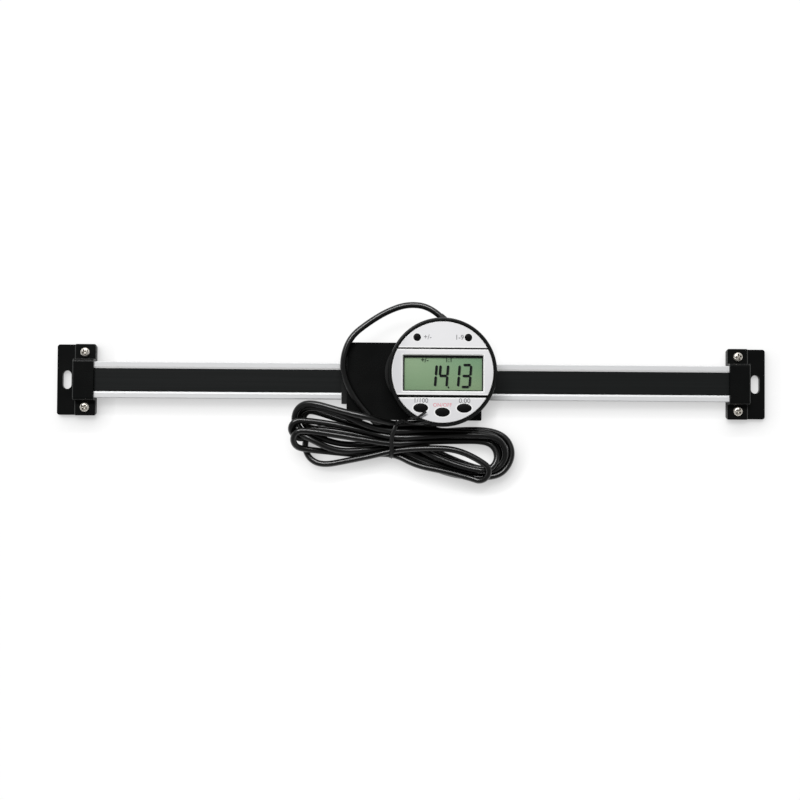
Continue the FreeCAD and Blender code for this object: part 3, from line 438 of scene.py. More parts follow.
# Grommets: soft black rubber plugs that hold the cord where it leaves the readout and the head.
# They are moulded to a taper and pushed into their holes.
grommet_rubber, place = new_finish("grommet_rubber")
bloom = grain(place, 0.0012)
shade(place, {
    "Base Color": tint(bloom, (0.005, 0.005, 0.005, 1), (0.016, 0.016, 0.016, 1)),
    "Roughness": 0.5 + 0.2 * bloom,
    "Normal": relief(bloom, 0.00002),
})
dress(grommet_rubber, "head_gland", "display_gland")

# Readout case: a moulded black shell with a proud rim round the face, its back plate, and the drawer for the
# coin cell in its left side. Three nickel-plated magnets in the back hold it on the head's cover.
DISPLAY_X, DISPLAY_Y = 15.2, 4.65
RIM_CREST = (27.75, 28.25, 28.75, 29.15)
RIM_HIGHLIGHT_FROM, RIM_HIGHLIGHT_TO = 0.0235, 0.0252
dress(moulded_black, "display_back", "battery_drawer")

rim_black, place = new_finish("black_plastic_with_painted_rim_highlight")
spark = grain(place, 0.00025, detail=4.0)
shine = grain(place, 0.008)
to_middle = (-DISPLAY_X * MM, -DISPLAY_Y * MM, 0)
centred = place.node("ShaderNodeMapping", {}, {"Vector": place, "Location": to_middle})
flat = place.node("ShaderNodeVectorMath", {"operation": "MULTIPLY"}, {0: centred, 1: (1, 1, 0)})
outward = place.node("ShaderNodeVectorMath", {"operation": "LENGTH"}, {0: flat}, "Value")
height = place.node("ShaderNodeSeparateXYZ", {}, {"Vector": place}, "Z")
inner, crest_in, crest_out, outer = [radius * MM for radius in RIM_CREST]
# Painted highlight: a lighter ring on the top of the rim's crest, where the rounded rim catches the light.
crest = step(outward, inner, crest_in) * step(outward, outer, crest_out)
rim_highlight = crest * step(height, RIM_HIGHLIGHT_FROM, RIM_HIGHLIGHT_TO)
shell_tone = tint(shine, (0.002, 0.0022, 0.0022, 1), (0.005, 0.0053, 0.0052, 1))
shade(place, {
    "Base Color": tint(rim_highlight, shell_tone, (0.009, 0.0096, 0.0095, 1)),
    "Specular IOR Level": 0.16,
    "Roughness": 0.24 + 0.1 * spark + 0.06 * shine,
    "Normal": relief(spark, 0.000014),
})
dress(rim_black, "display_shell")

plated, place = new_finish("plated_steel_disc")
tumbled = grain(place, 0.0016)
scuffs = grain(place, 0.00022, (12, 1, 1))
shade(place, {
    "Base Color": tint(tumbled, (0.55, 0.55, 0.54, 1), (0.78, 0.78, 0.76, 1)),
    "Metallic": 1.0,
    "Roughness": 0.16 + 0.14 * tumbled + 0.08 * scuffs,
    "Normal": relief(scuffs, 0.000005),
})
dress(plated, "display_magnets", "coin_cell")

# Face: three black plastic panels let into the rim, lacquered in silver with fine flakes. A painted highlight
# lies as a narrow white border along their edges and round the keys, painted shade as a hair of black beside
# the seams and the window, and the lacquer is painted darker at its left edge and lighter towards the top.
FACE_R = 27.3
BORDER = 0.0011
BORDER_SOFT = 0.0003
RIM_BORDER = 0.0007
LENS_LAP = 0.00075
SEAM_SHADE_WIDTH = 0.00014
WINDOW_SHADE_WIDTH = 0.0002
EDGE_SHADE_SOFT = 0.0001
KEY_BORDER = 1.12
FALLOFF_X = (-0.012, 0.0)
FALLOFF_Y = (0.0, 0.022)
lacquer, place = new_finish("silver_lacquer")
flakes = grain(place, 0.00016, detail=1.0)
haze = grain(place, 0.02)
across = place.node("ShaderNodeSeparateXYZ", {}, {"Vector": place}, "X")
upward = place.node("ShaderNodeSeparateXYZ", {}, {"Vector": place}, "Y")
# Painted light: the lacquer darkens towards its left edge and brightens towards the top.
painted_light_falloff = step(across, *FALLOFF_X) * (0.5 + 0.5 * step(upward, *FALLOFF_Y))
flat_coat = tint(0.2 * flakes + 0.2 * haze + 0.6 * painted_light_falloff, (0.66, 0.665, 0.685, 1), (0.95, 0.945, 0.96, 1))


def far_from(middle_x, middle_y, half_x, half_y):
    """Distance from an ellipse's middle in terms of its half sizes, which is 1 on the ellipse itself."""
    return (((across - middle_x) * (1 / half_x)) ** 2.0 + ((upward - middle_y) * (1 / half_y)) ** 2.0) ** 0.5


def off_middle(value, low, high):
    """Distance of a coordinate outside the stretch from low to high, negative within it."""
    return abs(value - (low + high) / 2) - (high - low) / 2


def within(distance, reach, soft):
    """Share that is 1 up to a distance and falls to 0 over a soft stretch short of it."""
    return 1 - step(distance, reach - soft, reach)


lower_box, frame_box, upper_box, lens_box = [
    np.array(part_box(name)).tolist() for name in ("lower_panel", "window_frame", "upper_panel", "lcd_window")]
lower_seam = off_middle(upward, lower_box[1][1], frame_box[0][1])
upper_seam = off_middle(upward, frame_box[1][1], upper_box[0][1])
window_x = off_middle(across, lens_box[0][0] + LENS_LAP, lens_box[1][0] - LENS_LAP)
window_y = off_middle(upward, lens_box[0][1] + LENS_LAP, lens_box[1][1] - LENS_LAP)
window_edge = window_x.maths("MAXIMUM", window_x, window_y)
seam_edge = lower_seam.maths("MINIMUM", lower_seam, upper_seam)
# Painted shade: a hair of black beside the seams and the window.
painted_seam_shade = within(seam_edge, SEAM_SHADE_WIDTH + EDGE_SHADE_SOFT, EDGE_SHADE_SOFT)
painted_seam_shade = painted_seam_shade.maths("MAXIMUM", painted_seam_shade, within(window_edge, WINDOW_SHADE_WIDTH + EDGE_SHADE_SOFT, EDGE_SHADE_SOFT))
# Painted highlight: a white border along the panels' edges and round the keys.
inward = FACE_R * MM * (1 - far_from(DISPLAY_X * MM, DISPLAY_Y * MM, FACE_R * MM, FACE_R * MM))
painted_edge_highlight = within(inward, RIM_BORDER, BORDER_SOFT)
for edge in (seam_edge, window_edge):
    painted_edge_highlight = painted_edge_highlight.maths("MAXIMUM", painted_edge_highlight, within(edge, BORDER, BORDER_SOFT))
for key in ("mode", "set", "units", "power", "zero"):
    low, high = [np.array(corner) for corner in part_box(key + "_button")]
    middle = ((high + low) / 2)[:2].tolist()
    half = ((high - low) / 2)[:2].tolist()
    ring = far_from(*middle, *half)
    painted_edge_highlight = painted_edge_highlight.maths("MAXIMUM", painted_edge_highlight, 1 - step(ring, 1.0, KEY_BORDER))
shade(place, {
    "Base Color": tint(painted_seam_shade, tint(painted_edge_highlight, flat_coat, (0.99, 0.99, 0.99, 1)), (0.004, 0.004, 0.004, 1)),
    "Metallic": 0.05,
    "Roughness": 0.3 + 0.16 * flakes,
    "Coat Weight": 0.15,
    "Coat Roughness": 0.12,
    "Normal": relief(flakes, 0.000004),
})
dress(lacquer, "upper_panel", "window_frame", "lower_panel")

# Liquid crystal cell: a reflective glass sandwich of greenish grey behind a clear moulded window, on striped
# elastomer strips. The shade of the window's walls is painted dark along the cell's edges, widest along the
# top.
LEFT_WALL_SHADE = 0.0006
RIGHT_WALL_SHADE = 0.0003
BOTTOM_WALL_SHADE = 0.00018
TOP_WALL_SHADE = 0.001
WALL_SHADE_SOFT = 0.00025
crystal, place = new_finish("liquid_crystal_cell")
cell_x = place.node("ShaderNodeSeparateXYZ", {}, {"Vector": place}, "X")
cell_y = place.node("ShaderNodeSeparateXYZ", {}, {"Vector": place}, "Y")
left_edge, bottom_edge = [low + LENS_LAP for low in lens_box[0][:2]]
right_edge, top_edge = [high - LENS_LAP for high in lens_box[1][:2]]
to_right = step(cell_x, left_edge, right_edge)
to_top = step(cell_y, bottom_edge, top_edge)
mottle = grain(place, 0.006)
clear_left, clear_bottom = left_edge + LEFT_WALL_SHADE, bottom_edge + BOTTOM_WALL_SHADE
clear_right, clear_top = right_edge - RIGHT_WALL_SHADE, top_edge - TOP_WALL_SHADE
# Painted shade of the window's walls along the cell's edges.
painted_wall_shade = 1 - (step(cell_x, clear_left - WALL_SHADE_SOFT, clear_left + WALL_SHADE_SOFT)
              * step(cell_x, clear_right + WALL_SHADE_SOFT, clear_right - WALL_SHADE_SOFT)
              * step(cell_y, clear_bottom, clear_bottom + WALL_SHADE_SOFT)
              * step(cell_y, clear_top + WALL_SHADE_SOFT, clear_top - WALL_SHADE_SOFT))
# The cell is lightest at the top left and darkest at the top right, and nearly even along the bottom.
warm = tint(to_top, (0.265, 0.42, 0.235, 1), (0.36, 0.52, 0.31, 1))
cool = tint(to_top, (0.29, 0.425, 0.235, 1), (0.21, 0.395, 0.225, 1))
cell_tone = tint(0.85 * to_right + 0.3 * mottle - 0.15, warm, cool)
shade(place, {
    "Base Color": tint(painted_wall_shade, cell_tone, (0.004, 0.005, 0.004, 1)),
    "Roughness": 0.3 + 0.15 * mottle,
})
dress(crystal, "lcd_panel")

clear, place = new_finish("clear_window")
wipe = grain(place, 0.004, (1, 3, 1))
shade(place, {
    "Base Color": tint(wipe, (0.05, 0.06, 0.055, 1), (0.09, 0.1, 0.095, 1)),
    "Specular IOR Level": 0.3,
    "Roughness": 0.04 + 0.05 * wipe,
    "Alpha": 0.05 + 0.02 * wipe,
})
dress(clear, "lcd_window")

elastomer, place = new_finish("striped_elastomer")
stripes = place.node("ShaderNodeTexWave", {"bands_direction": "X"}, {"Vector": place, "Scale": 1500.0}, "Fac")
shade(place, {
    "Base Color": tint(stripes, (0.03, 0.03, 0.03, 1), (0.62, 0.62, 0.59, 1)),
    "Roughness": 0.55 + 0.15 * stripes,
    "Normal": relief(stripes, 0.00001),
})
dress(elastomer, "lcd_connectors")

# Digits: slanted seven-segment figures on the cell, dark where the crystal is driven. Each segment is a bar
# with pointed ends, and its faint shadow falls on the reflector behind the crystal.
CELL_TOP = float(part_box("lcd_panel")[1][2]) / MM
DIGIT_WIDTH = 4.05
DIGIT_HALF_HEIGHT = 5.87
DIGIT_MIDDLE_Y = -1.92
SEGMENT_HALF = 0.66
SEGMENT_SHORT = 0.16
SEGMENT_POINT = 0.8
SLANT = 0.075
SEGMENT_ENDS = {
    "a": (-1.1, 1, 0, 1), "b": (0, 1, 0, 0), "c": (0, 0, 0, -1), "d": (-1.1, -1, 0, -1),
    "f": (-1, 1, -1, 0), "g": (-1.1, 0, 0, 0),
}
READING = ((-3.5, "bc"), (2.65, "fgbc"), (8.85, "bc"), (15.0, "abgcd"))
POINT_PLACE = (3.7, -8.05)
POINT_HALF = 0.45
DIGIT_LIFT = (0.06, 0.1)
SHADOW_LIFT = (0.01, 0.03)
SHADOW_SHIFT = (0.28, -0.26)


def segment_bars(lift, shift):
    """Six-cornered prisms: each bar runs between two ends, its corners stand off its axis by half its
    width, and all points lean to the right in proportion to their height above the middle of the digits.
    The lift gives the bars' bottom and top above the cell, and the shift moves all of them."""
    ends = np.array([(column + DIGIT_WIDTH * x0, DIGIT_HALF_HEIGHT * y0, column + DIGIT_WIDTH * x1,
                      DIGIT_HALF_HEIGHT * y1)
                     for column, lit in READING for x0, y0, x1, y1 in (SEGMENT_ENDS[s] for s in lit)])
    point_x, point_y = POINT_PLACE[0], POINT_PLACE[1] - DIGIT_MIDDLE_Y
    ends = np.vstack([ends, (point_x - POINT_HALF, point_y, point_x + POINT_HALF, point_y)])
    tail, tip = ends[:, :2], ends[:, 2:]
    run = (tip - tail) / np.linalg.norm(tip - tail, axis=1)[:, None]
    side = np.stack([-run[:, 1], run[:, 0]], -1) * SEGMENT_HALF
    short = np.where(np.arange(len(ends)) < len(ends) - 1, SEGMENT_SHORT, 0)[:, None]
    tail, tip = tail + run * short, tip - run * short
    taper = run * SEGMENT_HALF * SEGMENT_POINT
    near, far = tail + taper, tip - taper
    outline = np.stack([tail, near - side, far - side, tip, far + side, near + side], 1)
    outline[..., 0] += DISPLAY_X + SLANT * outline[..., 1] + shift[0]
    outline[..., 1] += DISPLAY_Y + DIGIT_MIDDLE_Y + shift[1]
    level = CELL_TOP + np.array(lift)
    level = np.broadcast_to(level[None, :, None, None], (len(ends), 2, 6, 1))
    return np.concatenate([np.repeat(outline[:, None], 2, axis=1), level], -1)


driven, place = new_finish("driven_crystal")
uneven = grain(place, 0.002)
shade(place, {
    "Base Color": tint(uneven, (0.0015, 0.002, 0.003, 1), (0.004, 0.005, 0.006, 1)),
    "Specular IOR Level": 0.08,
    "Roughness": 0.3 + 0.1 * uneven,
})
digits = skin("lcd_digits", list(segment_bars(DIGIT_LIFT, (0, 0))))
fit(digits, driven, "display")

cast, place = new_finish("crystal_shadow")
faint = grain(place, 0.002)
shade(place, {
    "Base Color": tint(faint, (0.12, 0.185, 0.105, 1), (0.15, 0.225, 0.13, 1)),
    "Roughness": 0.4 + 0.1 * faint,
})
shadows = skin("lcd_digit_shadows", list(segment_bars(SHADOW_LIFT, SHADOW_SHIFT)))
fit(shadows, cast, "display")

# Key legends: small pad-printed lettering beside the keys, grey ink but for the red ON/OFF, and two small
# signs on the crystal.
FACE_TOP = float(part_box("upper_panel")[1][2]) / MM
PRINT_LIFT = 0.012
SIGN_LIFT = 0.08
PRINT_STROKE = 0.03
SIGN_STROKE = 0.07
LETTER_HALF_THICK = 0.01
FONT_SIZE_PER_HEIGHT = 1.4


def lettering(name, lines, z, stroke=PRINT_STROKE):
    """Flat letters: each line is (words, x, y, height) about the middle of the readout, made a mesh first
    and then moved to its place. The stroke is what is added all round to the letters' lines."""
    joined = bmesh.new()
    for words, x, y, height in lines:
        curve = bpy.data.curves.new(name, "FONT")
        curve.body = words
        curve.align_x = "CENTER"
        curve.align_y = "CENTER"
        curve.size = height * FONT_SIZE_PER_HEIGHT * MM
        curve.extrude = LETTER_HALF_THICK * MM
        curve.offset = stroke * MM
        curve.resolution_u = 4
        holder = bpy.data.objects.new(name, curve)
        letters = bpy.data.meshes.new_from_object(holder)
        letters.transform(Matrix.Translation(Vector((DISPLAY_X + x, DISPLAY_Y + y, z)) * MM))
        joined.from_mesh(letters)
        bpy.data.objects.remove(holder)
        bpy.data.meshes.remove(letters)
    mesh = bpy.data.meshes.new(name)
    joined.to_mesh(mesh)
    joined.free()
    piece = bpy.data.objects.new(name, mesh)
    bpy.context.scene.collection.objects.link(piece)
    return piece


grey_ink, place = new_finish("grey_ink")
print_dots = grain(place, 0.0002)
shade(place, {
    "Base Color": tint(print_dots, (0.14, 0.14, 0.145, 1), (0.3, 0.3, 0.31, 1)),
    "Roughness": 0.5 + 0.2 * print_dots,
})
grey_lines = (("+/-", -8.1, 18.6, 2.6), ("1-9", 8.9, 18.5, 2.6), ("1/100", -11.55, -15.35, 2.5),
              ("0.00", 11.8, -15.4, 2.6))
fit(lettering("key_legends", grey_lines, FACE_TOP + PRINT_LIFT), grey_ink, "display")

red_ink, place = new_finish("red_ink")
print_dots = grain(place, 0.0002)
shade(place, {
    "Base Color": tint(print_dots, (0.72, 0.26, 0.3, 1), (0.84, 0.45, 0.48, 1)),
    "Roughness": 0.5 + 0.2 * print_dots,
})
red_lines = (("ON/OFF", 0.0, -17.65, 2.0),)
fit(lettering("power_legend", red_lines, FACE_TOP + PRINT_LIFT), red_ink, "display")
cell_signs = (("+/-", -9.5, 6.4, 2.5), ("1:1", 3.45, 6.45, 2.3))
signs = lettering("lcd_signs", cell_signs, CELL_TOP + SIGN_LIFT, SIGN_STROKE)
fit(signs, driven, "display")

# Keys: matt black rubber caps that stand through the panels, with a crowned top, a soft edge and a flange
# that holds each one in under the panel. The round pair is above the window and the three ovals below it.
FLANGE_LAP = 0.6
FLANGE_THICK = 0.7
CAP_CROWN = 0.22
CAP_EDGE = 0.4


def key_cap(low, high):
    """Profile swept round an ellipse: share s of the half sizes from the middle out to the edge, where the
    crown falls as s squared and then rounds over as a quarter circle, and below it the stem, the flange
    and the base."""
    middle = (low + high) / 2
    half_x, half_y = (high - low)[:2] / 2 - FLANGE_LAP
    s = np.concatenate([np.linspace(0.04, 1 - CAP_EDGE / half_y, 12),
                        1 - CAP_EDGE / half_y * (1 - np.sin(np.linspace(0.15, np.pi / 2, 9)))])
    over = np.clip((s - 1) * half_y / CAP_EDGE + 1, 0, 1)
    top = high[2] - CAP_CROWN * s ** 2 - CAP_EDGE * (1 - np.sqrt(1 - over ** 2))
    grow = np.concatenate([np.zeros(len(s) + 1), [FLANGE_LAP, FLANGE_LAP]])
    share = np.concatenate([s, np.ones(3)])
    z = np.concatenate([top, [low[2] + FLANGE_THICK, low[2] + FLANGE_THICK, low[2]]])
    angle = np.linspace(0, 2 * np.pi, 72, endpoint=False)[None]
    x = (half_x * share + grow)[:, None] * np.cos(angle) + middle[0]
    y = (half_y * share + grow)[:, None] * np.sin(angle) + middle[1]
    return np.stack([x, y, np.broadcast_to(z[:, None], x.shape)], -1)


matt_rubber, place = new_finish("matt_key_rubber")
dust = grain(place, 0.0009)
fine = grain(place, 0.00012, detail=2.0)
shade(place, {
    "Base Color": tint(dust, (0.0028, 0.0028, 0.003, 1), (0.006, 0.006, 0.0063, 1)),
    "Specular IOR Level": 0.08,
    "Roughness": 0.36 + 0.12 * fine,
    "Normal": relief(fine, 0.00001),
})
for key in ("mode", "set", "units", "power", "zero"):
    low, high = [np.array(corner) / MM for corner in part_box(key + "_button")]
    cap = fit(skin(key + "_key_cap", [key_cap(low, high)]), matt_rubber, key + "_key")
    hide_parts(key + "_button")

# Cord: limp round cord in a smooth, glossy black jacket. It leaves the readout's grommet, arches over the
# head's corner, is folded into a hank of twelve loops, six to each side of the tie, and ends in the head's
# grommet.
CORD_R = 1.7
CORD_SIDES = 16
TIE_X = -10.6
LEAD = (
    (14.25, 35.45, 15.4), (8.6, 40.6, 14.8), (-3.0, 42.2, 13.2), (-14.0, 38.6, 12.2), (-24.8, 31.9, 12.6),
    (-34.2, 24.2, 14.3), (-38.3, 13.8, 14.8), (-38.3, 4.2, 14.0), (-34.2, -5.6, 13.3), (-28.6, -13.6, 13.0),
    (-23.8, -18.6, 12.8), (-20.4, -21.5, 12.2), (-16.2, -23.0, 8.8),
)
LEAD_HELD = 11
PASSES = (
    (-23.6, 5.4), (-25.2, 2.6), (-37.9, 6.4), (-39.5, 2.6), (-34.6, 8.9), (-29.2, 2.5), (-31.2, 8.6),
    (-32.5, 2.4), (-27.8, 8.7), (-33.9, 5.5), (-26.9, 5.6), (-36.0, 2.5), (-23.7, 8.7),
)
LOOPS = (
    # middle of the end, its radius, heading, sense, bow out and back, height out, at the end and back
    (39.5, -39.8, 9.3, -5, -1, -0.5, -1.6, 2.0, 2.0, 2.0),
    (-49.5, -35.7, 10.2, 180, 1, -1.2, -0.2, 2.0, 2.0, 4.0),
    (36.4, -49.0, 5.2, -42, -1, 5.8, -0.8, 6.0, 8.0, 5.0),
    (-60.6, -32.2, 5.0, 180, -1, -1.0, 0.2, 4.0, 6.0, 8.0),
    (38.6, -40.9, 8.0, -8, -1, 0.6, -2.6, 6.5, 6.0, 3.0),
    (-62.0, -26.0, 4.4, 180, -1, 2.8, 1.3, 3.0, 7.0, 10.0),
    (41.5, -39.8, 10.0, -5, -1, 1.0, -1.5, 5.0, 4.5, 3.0),
    (-56.0, -22.5, 8.2, 180, -1, -3.2, 1.5, 3.0, 6.0, 14.5),
    (41.6, -39.7, 11.0, -5, -1, 0.5, -3.2, 2.5, 2.2, 2.0),
    (-56.0, -21.0, 4.7, 180, -1, 0.9, 0.6, 3.0, 4.5, 8.0),
    (42.3, -39.6, 12.0, -5, -1, 0.8, -4.8, 4.0, 2.5, 2.0),
    (-56.4, -21.3, 9.2, 180, -1, -6.0, -0.4, 4.0, 6.0, 16.0),
)
TAIL = ((-2.0, -23.1, 7.0), (4.5, -23.1, 5.6), (9.5, -25.4, 5.2), (12.4, -23.4, 5.2))
TAIL_HELD = 2
BEND_GROW = 1.06
SIDE_SHARES = (0.36, 0.7)
HEAD_LOW = np.array([-36.5, -21.25, 0.0])
HEAD_HIGH = np.array([37.5, 21.25, 10.9])
READOUT_R = 29.25
FRONT_BELOW = 6.0
STRAND_GAP = 0.1
HEAD_GAP = 0.05
FLOOR_GAP = 0.02
SETTLE_STEPS = 600
SPAN_PLACES = (0.125, 0.375, 0.625, 0.875)
NEIGHBOURS = 6
YIELD = (0.8, 0.8, 1.5)
SINK = 0.03
HOLD, LOOSE_HOLD = 0.02, 0.06
LEVEL, LOOSE_LEVEL = 0.01, 0.06
MOST_MOVE = 0.6
TINY = 1e-6


def hank_loop(start, end, loop):
    """One loop of the hank: out from the tie along one side, round five points of a half circle, and back
    along the other side. A side's two points lie on the line between its ends, bowed sideways, at the
    side's own height. The half circle's heights run evenly to that of its middle and on from it."""
    x, y, radius, heading, sense, bow_out, bow_back, height_out, height_end, height_back = loop
    sweep = np.linspace(-90, 90, 5)
    angle = np.radians(heading + sense * sweep)
    rise = np.interp(sweep, (-180, 0, 180), (height_out, height_end, height_back))
    reach = BEND_GROW * radius
    bend = np.stack([x + reach * np.cos(angle), y + reach * np.sin(angle), rise], -1)
    share = np.array(SIDE_SHARES)[:, None]
    out = start + (bend[0] - start) * share
    back = bend[-1] + (end - bend[-1]) * share
    out[:, 1:] = np.stack([out[:, 1] + bow_out, np.full(2, height_out)], -1)
    back[:, 1:] = np.stack([back[:, 1] + bow_back, np.full(2, height_back)], -1)
    return np.vstack([start, out, bend, back])


def settled(laid, held):
    """Control points of the cord after it has come to rest. Places along the spline, each the weighted mean
    of three control points, move apart where the cord would lie in itself, and out of the head, the
    readout and the floor. The control points also sink, even out their heights and are drawn back, seen
    from above, to where they were laid. Towards the end they no longer sink, and the rest weakens."""
    count = len(laid)
    first = np.repeat(np.arange(count - 2), len(SPAN_PLACES))
    t = np.tile(SPAN_PLACES, count - 2)
    row = np.arange(len(t))
    weight = np.zeros((len(t), count))
    weight[row, first] = 0.5 * (1 - t) ** 2
    weight[row, first + 1] = 0.5 + t - t ** 2
    weight[row, first + 2] = 0.5 * t ** 2
    apart = np.abs(row[:, None] - row[None]) > NEIGHBOURS
    control = laid.copy()
    for loose in np.clip(np.linspace(2, -1, SETTLE_STEPS), 0, 1):
        at = weight @ control
        gap = at[:, None] - at[None]
        length = np.sqrt((gap ** 2).sum(-1)) + TINY
        lap = np.where(apart, np.clip(2 * CORD_R + STRAND_GAP - length, 0, None), 0)
        push = 0.5 * (gap * (lap / length)[..., None]).sum(axis=1)
        off_head = at - np.clip(at, HEAD_LOW, HEAD_HIGH)
        depth = np.sqrt((off_head ** 2).sum(-1))
        beside = (depth > TINY) & (depth < CORD_R + HEAD_GAP)
        push[beside] += off_head[beside] * ((CORD_R + HEAD_GAP) / depth[beside] - 1)[:, None]
        low_in_head = (depth <= TINY) & (at[:, 2] < FRONT_BELOW)
        push[low_in_head, 1] -= at[low_in_head, 1] - HEAD_LOW[1] + CORD_R
        high_in_head = (depth <= TINY) & ~low_in_head
        push[high_in_head, 2] += HEAD_HIGH[2] + CORD_R - at[high_in_head, 2]
        off_readout = at[:, :2] - (DISPLAY_X, DISPLAY_Y)
        reach = np.sqrt((off_readout ** 2).sum(-1))
        under_rim = (reach < READOUT_R + CORD_R) & (at[:, 2] > HEAD_HIGH[2] - CORD_R)
        push[under_rim, :2] += off_readout[under_rim] * ((READOUT_R + CORD_R) / reach[under_rim] - 1)[:, None]
        touching = weight.T @ push.any(axis=1)
        move = weight.T @ push / np.maximum(touching, 1)[:, None] * YIELD
        move[:, 2] -= SINK * loose
        move[:, :2] += (HOLD + LOOSE_HOLD * loose) * (laid - control)[:, :2]
        between = 0.5 * (control[:-2, 2] + control[2:, 2])
        move[1:-1, 2] += (LEVEL + LOOSE_LEVEL * loose) * (between - control[1:-1, 2])
        move[held] = 0
        control += np.clip(move, -MOST_MOVE, MOST_MOVE)
        control[:, 2] = np.maximum(control[:, 2], CORD_R + FLOOR_GAP)
    return control


ties = [np.array([TIE_X, y, z]) for y, z in PASSES]
laid = [np.array(LEAD)]
for number, loop in enumerate(LOOPS):
    laid.append(hank_loop(ties[number], ties[number + 1], loop))
laid = np.vstack(laid + [ties[-1][None], np.array(TAIL)])
held = np.isclose(laid[:, 0], TIE_X)
held[:LEAD_HELD] = True
held[-TAIL_HELD:] = True
control = settled(laid, held) * MM

line = bpy.data.curves.new("cord_line", "CURVE")
line.dimensions = "3D"
line.resolution_u = 8
spline = line.splines.new("NURBS")
spline.points.add(len(control) - 1)
spline.points.foreach_set("co", np.column_stack([control, np.ones(len(control))]).ravel())
spline.order_u = 3
spline.use_endpoint_u = True
holder = bpy.data.objects.new("cord_line", line)
traced = bpy.data.meshes.new_from_object(holder)
cord_path = np.empty(3 * len(traced.vertices))
traced.vertices.foreach_get("co", cord_path)
cord_path = cord_path.reshape(-1, 3)
bpy.data.objects.remove(holder)
bpy.data.meshes.remove(traced)


def tube(path, radius, sides):
    """Round profile carried along a path: at each point, a circle in the plane of the level sideways
    direction and of the direction square to it and to the path."""
    run = np.gradient(path, axis=0)
    run /= np.linalg.norm(run, axis=1)[:, None]
    sideways = np.cross(run, (0, 0, 1))
    sideways /= np.linalg.norm(sideways, axis=1)[:, None]
    upward = np.cross(sideways, run)
    angle = np.linspace(0, 2 * np.pi, sides, endpoint=False)[None, :, None]
    return path[:, None] + radius * (np.cos(angle) * sideways[:, None] + np.sin(angle) * upward[:, None])


jacket, place = new_finish("glossy_black_jacket")
drawn = grain(place, 0.0012)
handled = grain(place, 0.012)
shade(place, {
    "Base Color": tint(handled, (0.001, 0.0011, 0.0011, 1), (0.003, 0.0032, 0.0031, 1)),
    "Specular IOR Level": 0.6,
    "Roughness": 0.26 + 0.06 * handled + 0.03 * drawn,
    "Normal": relief(drawn, 0.000003),
})
cord = skin("readout_cord", [tube(cord_path / MM, CORD_R, CORD_SIDES)])
cord.data.materials.append(jacket)
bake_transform(cord)
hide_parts("cable_lead", "cable_hank")

# Twist tie: a strip of black plastic moulded over a soft wire, bent once round the hank, with its ends
# twisted together on the upper side. Both ends are left long and lean on the readout's rim.
TIE_MIDDLE = (-31.85, 6.0)
TIE_HALF = (9.95, 5.15)
TIE_HALF_WIDTH = 1.15
WING_THICK = 0.3
WIRE_THICK = 0.75
WIRE_HALF = 0.35
STRIP_POINTS = 13
RING_POINTS = 120
RING_X = -11.7
RING_SKEW = 2.6
RING_SKEW_FROM = -31.0
RING_SKEW_RUN = 8.5


def strip_profile():
    """Section of the strip as (across, out): flat below, and above it thin wings with a ridge over the
    wire, whose height falls off as a bell curve."""
    across = np.linspace(-1, 1, STRIP_POINTS) * TIE_HALF_WIDTH
    out = WING_THICK + (WIRE_THICK - WING_THICK) * np.exp(-(across / WIRE_HALF) ** 2)
    base = np.stack([across[::-1], np.zeros(STRIP_POINTS)], -1)
    return np.vstack([np.stack([across, out], -1), base])


def swept(path, across, out, width=1.0):
    """Strip section carried along a path, given the directions across it and out of it at each point."""
    section = strip_profile()
    sideways = width * section[None, :, :1] * across[:, None]
    raised = width * section[None, :, 1:] * out[:, None]
    return path[:, None] + sideways + raised


def through(points, count):
    """Smooth path through points: on each span, the cubic whose slope at a point is half the step between its
    neighbours."""
    p = np.array(points, float)
    p = np.vstack([2 * p[0] - p[1], p, 2 * p[-1] - p[-2]])
    t = np.linspace(0, 1, count, endpoint=False)[None, :, None]
    a, b, c, d = (p[i:len(p) - 3 + i][:, None] for i in range(4))
    square = 2 * a - 5 * b + 4 * c - d
    cube = 3 * b - a - 3 * c + d
    spans = 0.5 * (2 * b + (c - a) * t + square * t ** 2 + cube * t ** 3)
    return np.vstack([spans.reshape(-1, 3), p[-2]])


def directions(path, up):
    """Directions across a path and out of it, from one direction that is roughly out."""
    run = np.gradient(path, axis=0)
    run /= np.linalg.norm(run, axis=1)[:, None]
    across = np.cross(run, up)
    across /= np.linalg.norm(across, axis=1)[:, None]
    return across, np.cross(across, run)


def tie_ring():
    """Closed path round the hank, with the directions across the strip and out of it: y and z go as the
    square roots of the cosine and the sine of the turn, with their signs, which makes a box with round
    corners, and x rises smoothly over one stretch of y."""
    turn = np.linspace(0, 2 * np.pi, RING_POINTS, endpoint=False)
    round_y = np.sign(np.cos(turn)) * np.abs(np.cos(turn)) ** 0.5
    round_z = np.sign(np.sin(turn)) * np.abs(np.sin(turn)) ** 0.5
    y = TIE_MIDDLE[0] + TIE_HALF[0] * round_y
    z = TIE_MIDDLE[1] + TIE_HALF[1] * round_z
    x = RING_X + RING_SKEW * soft_step((y - RING_SKEW_FROM) / RING_SKEW_RUN)
    path = np.stack([x, y, z], -1)
    run = np.roll(path, -1, axis=0) - np.roll(path, 1, axis=0)
    run /= np.linalg.norm(run, axis=1)[:, None]
    across = np.array([1.0, 0, 0]) - run * run[:, :1]
    across /= np.linalg.norm(across, axis=1)[:, None]
    out = np.cross(run, across)
    out *= np.sign((out * (path - path.mean(axis=0))).sum(-1))[:, None]
    return path, across, out


